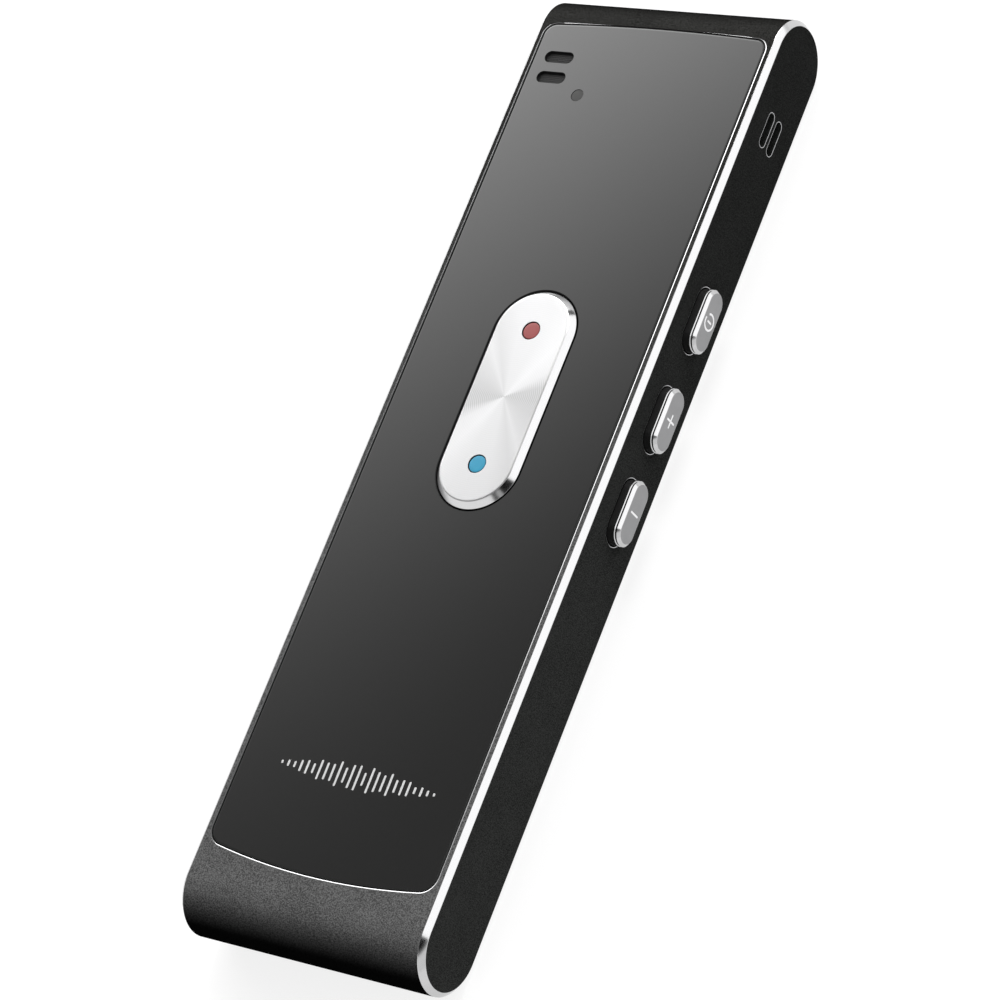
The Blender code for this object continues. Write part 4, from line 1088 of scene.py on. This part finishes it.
class TRANSLATOR_OT_face(bpy.types.Operator):
    """Build the glossy face with its openings, the slot mesh and the printed voice mark"""

    bl_idname = "translator.face"
    bl_label = "Face"

    def execute(self, context):
        face = context.scene.translator_face
        edge, slot_edge = face.edge, face.slot_edge
        profile = soften([(FACE_GAP, GLASS_LOW_Z), (FACE_GAP, FACE_Z - edge),
                          (FACE_GAP + edge, FACE_Z), (FACE_GAP + 2 * edge, FACE_Z)], slot_edge)
        glass = swept("face_panel", "Z", face_outline, profile, ("face_gloss", "matt_black"))

        def mouth(bevel):
            """Profile of a hole whose mouth is bevelled."""
            return [(0, GLASS_LOW_Z - OVERRUN), (0, FACE_Z - bevel),
                    (-bevel - SMALL_OVERRUN, FACE_Z + SMALL_OVERRUN)]

        def rocker_hole(inset):
            """Outline of the opening for the rocker, drawn in by the inset."""
            return cap_outline(inset - SLIDE_GAP)

        cut_out(glass, "rocker_hole", "Z", rocker_hole, mouth(edge / 2), "matt_black")
        for number, y in enumerate(SLOT_YS):
            slot = drawn_in(stadium, SLOT_X, y, SLOT_HALF_LENGTH, SLOT_RADIUS)
            cut_out(glass, f"slot_{number}", "Z", slot, mouth(slot_edge), "matt_black")
        light = drawn_in(circle, LIGHT_X, LIGHT_Y, LIGHT_HOLE_RADIUS)
        cut_out(glass, "light_hole", "Z", light, mouth(MESH_GAP / 2), "matt_black")
        settle(glass, "casing", "face_glass", "front_panel")
        for number, y in enumerate(SLOT_YS):
            settle(self.slot_mesh(face, number, y), "casing", "black_plastic")
        settle(self.voice_mark(face), "casing", "face_glass")
        return {"FINISHED"}

    def slot_mesh(self, face, number, y):
        """Block of fine mesh that fills one voice slot from the rubber boot up."""
        low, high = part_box("microphone_boot")[1].z, FACE_Z - MESH_SUNK
        outline = stadium(SLOT_X, y, SLOT_HALF_LENGTH - MESH_GAP, SLOT_RADIUS - MESH_GAP)
        mesh = prism(f"slot_mesh_{number}", outline, low, high, "slot_mesh")
        columns = int(2 * SLOT_HALF_LENGTH / face.mesh_pitch) - 1
        rows = int(2 * SLOT_RADIUS / face.mesh_pitch)
        return perforate(mesh, (SLOT_X, y, high), columns, rows, face.mesh_pitch,
                         face.mesh_hole, face.mesh_depth, MESH_HOLE_SIDES,
                         finish("slot_mesh"))

    def voice_mark(self, face):
        """Row of rounded bars, as tall as a voice that swells and fades."""
        pattern = Pattern("Voice mark", {
            "Middle": Vector((face.mark_x, face.mark_y, FACE_Z)), "Bars": face.bars,
            "Pitch": face.bar_pitch, "Bar radius": face.bar_radius, "Reach": face.bar_reach,
            "Print": face.bar_print, "Material": finish("voice_print"),
        })
        value = pattern.value
        last = value("Bars") - 1
        start = pattern.add("ShaderNodeCombineXYZ", {}, {"X": last * value("Pitch") * -0.5})
        offset = pattern.add("ShaderNodeCombineXYZ", {}, {"X": value("Pitch")})
        line = pattern.add("GeometryNodeMeshLine", {"mode": "OFFSET"}, {
            "Count": value("Bars"), "Start Location": start, "Offset": offset})
        dot = pattern.add("GeometryNodeMeshCylinder", {"fill_type": "NGON"}, {
            "Vertices": DOT_STEPS, "Radius": value("Bar radius"), "Depth": value("Print")})
        dots = pattern.repeat(line, dot)
        place = pattern.add("ShaderNodeSeparateXYZ", {}, {
            "Vector": pattern.add("GeometryNodeInputPosition")})
        number = pattern.math("ROUND", place / value("Pitch") + last / 2)
        swell = pattern.math("SINE", number / last * math.pi)
        ripple = pattern.math("SINE", number * RIPPLE_PACE + RIPPLE_START)
        ripple = RIPPLE_SHARE * pattern.math("ABSOLUTE", ripple)
        share = swell * (1 - RIPPLE_SHARE + ripple) + LEAST_SHARE
        height = share * (value("Reach") - value("Bar radius"))
        up = pattern.math("SIGN", place.other("Y"))
        stretch = pattern.add("ShaderNodeCombineXYZ", {}, {"Y": up * height})
        bars = pattern.add("GeometryNodeSetPosition", {}, {"Geometry": dots, "Offset": stretch})
        placed = pattern.add("GeometryNodeTransform", {}, {"Geometry": bars,
                                                           "Translation": value("Middle")})
        pattern.end(placed)
        return pattern.run_on(empty_object("voice_mark"))


class TRANSLATOR_OT_rocker(bpy.types.Operator):
    """Build the rocker key with its spun face and its two coloured inlays"""

    bl_idname = "translator.rocker"
    bl_label = "Rocker key"

    def execute(self, context):
        rocker = context.scene.translator_rocker
        cut, inner, top = rocker.chamfer, rocker.inner_cut, CAP_HIGH.z
        step = cut - inner / 2
        profile = soften([
            (0, CAP_LOW.z), (0, top - cut), (step, top - cut + step), (cut + inner, top),
            (cut + 3 * inner, top),
        ], rocker.softness)
        cap = swept("rocker_key", "Z", cap_outline, profile, ("spun_rings", "bright_cut"))
        for polygon in cap.data.polygons:
            rise = abs(polygon.normal.z)
            if rise < SLANT_SHARE or rise > FLAT_SHARE:
                polygon.material_index = 1 if rise < SLANT_SHARE else 0
        for tint in ("red", "blue"):
            name = f"{tint}_inlay"
            low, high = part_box(name)
            y, radius = (low.y + high.y) / 2, high.x
            edge = rocker.inlay_edge
            hole = drawn_in(circle, 0, y, radius + rocker.inlay_gap)
            mouth = [(0, low.z - OVERRUN), (0, top - edge / 2),
                     (-edge / 2 - SMALL_OVERRUN, top + SMALL_OVERRUN)]
            cut_out(cap, f"{name}_hole", "Z", hole, mouth, "matt_black", "hole_edge")
            disc = drawn_in(circle, 0, y, radius)
            crown = soften([(0, low.z), (0, high.z - edge), (edge, high.z - edge / 4),
                            (radius / 2, high.z)], edge / 2)
            piece = swept(f"{name}_disc", "Z", disc, crown, (f"{tint}_fill",))
            settle(piece, "rocker", f"{tint}_enamel", name)
        settle(cap, "rocker", "spun_metal", "rocker_cap")
        return {"FINISHED"}


def cross_outline(u, v, reach, stroke):
    """Outline of an upright cross."""
    quarter = [(reach, -stroke), (reach, stroke), (stroke, stroke)]
    points = []
    for turn in range(4):
        sine, cosine = round(math.sin(turn * math.pi / 2)), round(math.cos(turn * math.pi / 2))
        points += [(u + a * cosine - b * sine, v + a * sine + b * cosine) for a, b in quarter]
    return points


def arc_outline(u, v, radius, stroke, start, end):
    """Outline of a thick arc from one angle to another."""
    turns = spread(start, end, 2 * ROUND_STEPS)
    outer = [(u + (radius + stroke) * math.cos(t), v + (radius + stroke) * math.sin(t))
             for t in turns]
    inner = [(u + (radius - stroke) * math.cos(t), v + (radius - stroke) * math.sin(t))
             for t in reversed(turns)]
    return outer + inner


def stadium_across(u, v, half_length, radius):
    """Outline with two round ends, long along its second axis."""
    return [(u - a, v + b) for b, a in stadium(0, 0, half_length, radius, CORNER_STEPS)]


# Where the open ring of the power mark starts and ends
RING_GAP_START = math.radians(70)
RING_GAP_END = math.radians(395)


class TRANSLATOR_OT_buttons(bpy.types.Operator):
    """Build the three side buttons with their collars, chamfers and cut marks"""

    bl_idname = "translator.buttons"
    bl_label = "Side buttons"

    def execute(self, context):
        button = context.scene.translator_button
        for key in KEYS:
            cap = self.head(key, button)
            for number, outline in enumerate(self.marks(key, button)):
                stroke, deep = button.mark_stroke, BUTTON_TOP_X - button.mark_depth
                groove = [(stroke - SMALL_OVERRUN, deep), (0, BUTTON_TOP_X),
                          (0, BUTTON_TOP_X + OVERRUN)]
                cut_out(cap, f"{key}_mark_{number}", "X", outline, groove, "mark_cut")
            settle(cap, f"{key}_key", "button_metal", f"{key}_button")
        return {"FINISHED"}

    def head(self, key, button):
        """Button from its nub in the shell, over its collar and bead, up to its satin face."""
        low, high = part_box(f"{key}_button")
        y, half_length, radius = button_place(key)
        flange_x = INNER_X - SLIDE_GAP
        flange_low = low.x + BUTTON_NUB_LENGTH
        nub = stadium(y, MID_Z, BUTTON_NUB_RADIUS, BUTTON_NUB_RADIUS)
        outline = drawn_in(stadium, y, MID_Z, half_length, radius)
        collar = SIDE_X + button.collar
        bead = collar + button.bead
        cut, deep = button.chamfer, button.groove_depth
        groove = high.x - cut
        land = cut + 3 * button.softness
        stages = [
            ([(-BUTTON_FLANGE, flange_low), (-BUTTON_FLANGE, flange_x), (0, flange_x),
              (0, collar)], 1),
            ([(0, collar), (deep, bead)], 2),
            ([(deep, bead), (deep, groove)], 1),
            ([(0, groove), (cut, high.x), (land, high.x)], 2),
        ]
        rings = [ring("X", nub, low.x), ring("X", nub, flange_low)]
        bands = [1, 1]
        for profile, shade in stages:
            soft = soften(profile, button.softness)
            rings += [ring("X", outline(inset), x) for inset, x in soft]
            bands += [shade] * len(soft)
        bands = bands[:len(rings) - 1]
        bands[-1] = 0
        return loft(f"{key}_key_cap", rings, ("satin_key", "matt_black", "bright_cut"), bands,
                    (1, 0))

    def marks(self, key, button):
        """Outlines of the mark of one button, each drawn in by an inset."""
        y = button_place(key)[0]
        stroke, reach = button.mark_stroke, button.sign_reach
        if key == "plus":
            return [drawn_in(cross_outline, y, MID_Z, reach, stroke)]
        if key == "minus":
            return [drawn_in(stadium_across, y, MID_Z, reach, stroke)]
        radius = button.ring_reach - stroke

        def open_ring(inset):
            """The ring of the power mark, with its gap at the upper right."""
            return arc_outline(y, MID_Z, radius, stroke - inset, RING_GAP_START, RING_GAP_END)

        return [open_ring, drawn_in(stadium_across, y, MID_Z, radius / 2, stroke)]


class TRANSLATOR_OT_light(bpy.types.Operator):
    """Build the small window of the status light"""

    bl_idname = "translator.light"
    bl_label = "Status light"

    def execute(self, context):
        edge = MESH_GAP
        rod = LIGHT_HOLE_RADIUS - MESH_GAP / 2
        flange = LIGHT_HIGH.x - LIGHT_X
        flange_top = GLASS_LOW_Z - FACE_GAP
        flange_low = flange_top - (flange - rod) * 3 / 4
        low, high = LIGHT_LOW.z, LIGHT_HIGH.z
        profile = [(rod, low), (rod, flange_low), (flange, flange_low), (flange, flange_top),
                   (rod, flange_top), (rod, high - edge / 2), (rod - edge / 2, high - edge / 8),
                   (rod / 2, high)]
        window = turned("light_window", LIGHT_X, LIGHT_Y, profile, "smoked_light")
        settle(window, "casing", "smoked_plastic", "status_window")
        return {"FINISHED"}


class TRANSLATOR_OT_back(bpy.types.Operator):
    """Build the rear cover with its grille, and its four screws"""

    bl_idname = "translator.back"
    bl_label = "Rear cover"

    def execute(self, context):
        back = context.scene.translator_back
        edge = back.edge
        profile = soften([(FACE_GAP + 3 * edge, 0), (FACE_GAP + edge, 0), (FACE_GAP, edge),
                          (FACE_GAP, COVER_HIGH_Z)], edge / 4)
        cover = swept("back_cover", "Z", face_outline, profile, ("grained_cover",))
        seat = [(-edge - SMALL_OVERRUN, -SMALL_OVERRUN), (0, edge), (0, SEAT_DEPTH)]
        bore = [(0, -OVERRUN), (0, COVER_HIGH_Z + OVERRUN)]
        places = []
        for number in range(1, 5):
            low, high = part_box(f"cover_screw_{number}")
            places.append(((low.x + high.x) / 2, (low.y + high.y) / 2, low.z))
            x, y, _ = places[-1]
            wide = drawn_in(circle, x, y, HEAD_RADIUS + HEAD_GAP)
            narrow = drawn_in(circle, x, y, SHANK_RADIUS + HEAD_GAP)
            cut_out(cover, f"seat_{number}", "Z", wide, seat, "grained_cover")
            cut_out(cover, f"hole_{number}", "Z", narrow, bore, "grained_cover")
        made_plain(cover)
        speaker_low, speaker_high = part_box("speaker")
        middle = ((speaker_low.x + speaker_high.x) / 2, (speaker_low.y + speaker_high.y) / 2,
                  COVER_HIGH_Z / 2)
        perforate(cover, middle, back.columns, back.rows, back.hole_pitch, back.hole_radius,
                  COVER_HIGH_Z, ROUND_STEPS, finish("grained_cover"))
        settle(cover, "casing", "back_plastic", "rear_cover")
        settle(self.screws(places, back), "casing", "black_steel",
               *(f"cover_screw_{number}" for number in range(1, 5)))
        return {"FINISHED"}

    def screws(self, places, back):
        """The four screws of the cover, each with a cross in its rounded head."""
        low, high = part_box("cover_screw_1")
        tall = high.z - low.z
        under_head = SEAT_DEPTH - places[0][2] - HEAD_GAP * 2 / 3
        edge = back.edge
        profile = soften([(HEAD_RADIUS - 3 * edge, 0), (HEAD_RADIUS - edge, 0),
                          (HEAD_RADIUS, edge), (HEAD_RADIUS, under_head),
                          (SHANK_RADIUS, under_head), (SHANK_RADIUS, tall - edge),
                          (SHANK_RADIUS - edge, tall)], edge / 2)
        form = turned("screw_form", 0, 0, profile, "black_steel")
        cross = cross_outline(0, 0, back.cross_reach, back.cross_stroke)
        carve(form, prism("cross_tool", cross, -OVERRUN, back.cross_depth, "black_steel"))
        made_plain(form)
        form.hide_render = True
        pattern = Pattern("Screws on points", {"Form": form, "Material": finish("black_steel")})
        info = pattern.add("GeometryNodeObjectInfo", {}, {"Object": pattern.value("Form")},
                           output="Geometry")
        pattern.end(pattern.repeat(pattern.value("Geometry"), info))
        screws = pattern.run_on(empty_object("cover_screws", places))
        bpy.data.objects.remove(form, do_unlink=True)
        return screws


class TRANSLATOR_OT_socket(bpy.types.Operator):
    """Build the charging socket with its tongue and its contacts"""

    bl_idname = "translator.socket"
    bl_label = "Charging socket"

    def execute(self, context):
        socket = context.scene.translator_socket
        half_x, half_z = SOCKET_HIGH.x, SOCKET_HIGH.z - MID_Z
        outline = drawn_in(stadium, 0, MID_Z, half_x, half_z)
        lip, sheet, mouth = socket.lip, SOCKET_SHEET, SOCKET_HIGH.y
        profile = soften([
            (sheet, SOCKET_LOW.y + SOCKET_BACK_WALL), (sheet, mouth - lip),
            (sheet - lip, mouth), (lip, mouth), (0, mouth - lip), (0, SOCKET_LOW.y),
        ], lip / 2)
        piece = swept("socket_shell", "Y", outline, profile, ("plain_steel",))
        settle(piece, "casing", "plain_steel", "usb_socket")

        half_width, half_height = TONGUE_HIGH.x, TONGUE_HIGH.z - MID_Z

        def tongue(inset):
            """Outline of the tongue, drawn in by the inset."""
            return rounded_box(0, MID_Z, half_width - inset, half_height - inset,
                               half_height / 2)

        nose = soften([(0, TONGUE_LOW.y), (0, TONGUE_HIGH.y - lip), (lip, TONGUE_HIGH.y)],
                      lip / 2)
        piece = swept("socket_tongue", "Y", tongue, nose, ("black_plastic",))
        settle(piece, "casing", "black_plastic", "usb_tongue")
        settle(self.contacts(socket, half_height), "casing", "plain_steel")
        return {"FINISHED"}

    def contacts(self, socket, half_height):
        """Flat gold contacts on both faces of the tongue."""
        far_y = TONGUE_HIGH.y - 2 * socket.lip - socket.contact_length / 2
        pattern = Pattern("Rows of contacts", {
            "Middle": Vector((0, far_y, MID_Z)), "Contacts": socket.contacts,
            "Pitch": socket.contact_pitch, "Height": half_height,
            "Pad": Vector((socket.contact_width, socket.contact_length,
                           2 * socket.contact_height)),
            "Material": finish("gold_plate"),
        })
        value = pattern.value
        grid = pattern.add("GeometryNodeMeshGrid", {}, {
            "Size X": (value("Contacts") - 1) * value("Pitch"), "Size Y": value("Height") * 2,
            "Vertices X": value("Contacts"), "Vertices Y": 2})
        upright = pattern.add("GeometryNodeTransform", {}, {
            "Geometry": grid, "Translation": value("Middle"),
            "Rotation": (math.pi / 2, 0, 0)})
        pad = pattern.add("GeometryNodeMeshCube", {}, {"Size": value("Pad")})
        pattern.end(pattern.repeat(upright, pad))
        return pattern.run_on(empty_object("socket_contacts"))


class TRANSLATOR_OT_inside(bpy.types.Operator):
    """Give every CAD node that still shows the finish of its material slot"""

    bl_idname = "translator.inside"
    bl_label = "Inside"

    def execute(self, context):
        slots = {part["node"]: part["material_slot"] for part in frame["record"]["subparts"]}
        for name, obj in frame["nodes"].items():
            if not obj.hide_render:
                obj.material_slots[0].material = finish(slots[name])
        return {"FINISHED"}


# Camera that the photograph's outline was fitted with
CAMERA_PLACE = (0.26987, -0.15184, 0.37710)
CAMERA_RIGHT = (0.8178, 0.3557, -0.4523)
CAMERA_UP = (-0.1354, 0.8829, 0.4496)
CAMERA_BACK = (0.5593, -0.3065, 0.7702)
SENSOR_WIDTH = 36.0

# Soft boxes in the dome, in degrees: azimuth, half width, half width of the full strength,
# where the lower edge starts and ends, and where the upper edge starts and ends. The dark
# patches take light away in the same way.
LEFT_BOX = (120.5, 49, 0, 12, 24, 38.5, 53.6)
RIGHT_BOX = (48.5, 52, 47, 2, 12, 42, 52)
FRONT_BOX = (251, 54, 46, -3, 3, 40, 48)
SPOT_BOX = (319, 8, 4, 27, 31, 42, 46)
DARK_PATCH = (76, 6, 4, 6, 9, 20, 23)
DARK_GAP = (343, 18, 14, 28, 32, 46, 56)
BAND_LOW, BAND_HIGH = math.radians(22), math.radians(28)
LAMP_PLACE = (0.05, 0.75, 0.90)
LAMP_SIZE = 0.4
FLOOR_DROP = 0.00002
FLOOR_STEPS = 64


class TRANSLATOR_OT_stage(bpy.types.Operator):
    """Set up the pale floor, the soft dome of light, the lamp and the camera"""

    bl_idname = "translator.stage"
    bl_label = "Stage"

    def execute(self, context):
        stage = context.scene.translator_stage
        self.floor(stage)
        self.dome(context.scene, stage)
        self.lamp(context.scene, stage)
        self.camera(context.scene, stage)
        context.scene.view_settings.view_transform = "Standard"
        return {"FINISHED"}

    def floor(self, stage):
        """Pale round floor that reads white and keeps a soft shadow."""
        shape = bmesh.new()
        corners = circle(0, 0, stage.floor_radius, FLOOR_STEPS)
        shape.faces.new([shape.verts.new((x, y, -FLOOR_DROP)) for x, y in corners])
        mesh = bpy.data.meshes.new("floor")
        shape.to_mesh(mesh)
        shape.free()
        material = bpy.data.materials.new("pale_floor")
        material.use_nodes = True
        nodes = Nodes(material.node_tree)
        material.node_tree.nodes.remove(material.node_tree.nodes["Principled BSDF"])
        path = nodes.add("ShaderNodeLightPath", output="Is Camera Ray")
        seen = path + path.other("Is Glossy Ray") + path.other("Is Transmission Ray")
        matt = nodes.add("ShaderNodeBsdfDiffuse", {}, {"Color": as_colour(stage.floor_colour)})
        glow = nodes.add("ShaderNodeEmission", {}, {"Strength": seen * stage.floor_glow})
        both = nodes.add("ShaderNodeAddShader", {}, {0: matt, 1: glow})
        nodes.feed(material.node_tree.nodes["Material Output"].inputs["Surface"], both)
        mesh.materials.append(material)
        obj = bpy.data.objects.new("floor", mesh)
        bpy.context.scene.collection.objects.link(obj)

    def dome(self, scene, stage):
        """World light: a plain dome with a pale horizon, soft boxes and dark patches in it,
        which the camera sees as white."""
        world = bpy.data.worlds.new("studio_dome")
        world.use_nodes = True
        nodes = Nodes(world.node_tree)
        direction = nodes.add("ShaderNodeTexCoord", output="Generated")
        height = nodes.add("ShaderNodeSeparateXYZ", {}, {"Vector": direction}).other("Z")
        rise = nodes.smooth_step(height, 0.0, 1.0)
        dome = stage.low_dome + rise * (stage.zenith - stage.low_dome)
        band = 1 - nodes.smooth_step(height, math.sin(BAND_LOW), math.sin(BAND_HIGH))

        level_way = nodes.add("ShaderNodeVectorMath", {"operation": "MULTIPLY"},
                              {0: direction, 1: (1, 1, 0)})
        level_way = nodes.add("ShaderNodeVectorMath", {"operation": "NORMALIZE"},
                              {0: level_way})

        def soft_box(azimuth, half_width, full_width, *edges):
            """1 inside a soft box, fading to 0 over its edges."""
            aim = (math.cos(math.radians(azimuth)), math.sin(math.radians(azimuth)), 0)
            near = nodes.add("ShaderNodeVectorMath", {"operation": "DOT_PRODUCT"},
                             {0: level_way, 1: aim}, output="Value")
            across = nodes.smooth_step(near, math.cos(math.radians(half_width)),
                                       math.cos(math.radians(full_width)))
            low0, low1, high0, high1 = (math.sin(math.radians(edge)) for edge in edges)
            above = nodes.smooth_step(height, low0, low1)
            return across * above * (1 - nodes.smooth_step(height, high0, high1))

        strength = dome + band * (stage.horizon - stage.low_dome)
        for box, light in ((RIGHT_BOX, stage.right_box), (FRONT_BOX, stage.front_box)):
            strength = nodes.math("MAXIMUM", strength, soft_box(*box) * light)
        for patch in (DARK_PATCH, DARK_GAP):
            strength = strength * (1 - soft_box(*patch))
        strength = nodes.math("MAXIMUM", strength, soft_box(*SPOT_BOX) * stage.spot_box)
        strength = strength + soft_box(*LEFT_BOX) * stage.left_box
        seen = nodes.add("ShaderNodeLightPath", output="Is Camera Ray")
        strength = nodes.math("MAXIMUM", strength, seen)
        nodes.feed(world.node_tree.nodes["Background"].inputs["Strength"], strength)
        nodes.feed(world.node_tree.nodes["Background"].inputs["Color"], (1, 1, 1, 1))
        scene.world = world

    def lamp(self, scene, stage):
        """Square soft lamp overhead, in front of the device."""
        light = bpy.data.lights.new("soft_lamp", "AREA")
        light.energy = stage.lamp_power
        light.size = LAMP_SIZE
        obj = bpy.data.objects.new("soft_lamp", light)
        obj.location = LAMP_PLACE
        obj.rotation_euler = Vector(LAMP_PLACE).to_track_quat("Z", "Y").to_euler()
        scene.collection.objects.link(obj)

    def camera(self, scene, stage):
        """Camera at the photograph's angle."""
        data = bpy.data.cameras.new("camera")
        data.lens = stage.lens
        data.sensor_width = SENSOR_WIDTH
        obj = bpy.data.objects.new("camera", data)
        columns = (CAMERA_RIGHT, CAMERA_UP, CAMERA_BACK, CAMERA_PLACE)
        obj.matrix_world = Matrix([[column[row] for column in columns] for row in range(3)]
                                  + [[0, 0, 0, 1]])
        scene.collection.objects.link(obj)
        scene.camera = obj


SETTINGS = {
    "translator_shell": ShellSettings,
    "translator_face": FaceSettings,
    "translator_rocker": RockerSettings,
    "translator_button": ButtonSettings,
    "translator_back": BackSettings,
    "translator_socket": SocketSettings,
    "translator_stage": StageSettings,
}

OPERATORS = (
    TRANSLATOR_OT_shell,
    TRANSLATOR_OT_face,
    TRANSLATOR_OT_rocker,
    TRANSLATOR_OT_buttons,
    TRANSLATOR_OT_light,
    TRANSLATOR_OT_back,
    TRANSLATOR_OT_socket,
    TRANSLATOR_OT_inside,
    TRANSLATOR_OT_stage,
)


class TRANSLATOR_PT_panel(bpy.types.Panel):
    """Sidebar panel that lists the pieces and their settings"""

    bl_idname = "TRANSLATOR_PT_panel"
    bl_label = "Handheld Translator"
    bl_space_type = "VIEW_3D"
    bl_region_type = "UI"
    bl_category = "Translator"

    def draw(self, context):
        for operator in OPERATORS:
            self.layout.operator(operator.bl_idname)
        for name, kind in SETTINGS.items():
            box = self.layout.box()
            box.label(text=kind.__doc__)
            for setting in kind.__annotations__:
                box.prop(getattr(context.scene, name), setting)


def register():
    """Register the settings, the operators and the panel."""
    for name, kind in SETTINGS.items():
        bpy.utils.register_class(kind)
        setattr(bpy.types.Scene, name, bpy.props.PointerProperty(type=kind))
    for kind in (*OPERATORS, TRANSLATOR_PT_panel):
        bpy.utils.register_class(kind)


def unregister():
    """Take the panel, the operators and the settings away again."""
    for kind in (TRANSLATOR_PT_panel, *reversed(OPERATORS)):
        bpy.utils.unregister_class(kind)
    for name, kind in SETTINGS.items():
        delattr(bpy.types.Scene, name)
        bpy.utils.unregister_class(kind)


def main():
    """Build every piece and the stage."""
    register()
    for operator in OPERATORS:
        group, name = operator.bl_idname.split(".")
        getattr(getattr(bpy.ops, group), name)()


if __name__ == "__main__":
    main()
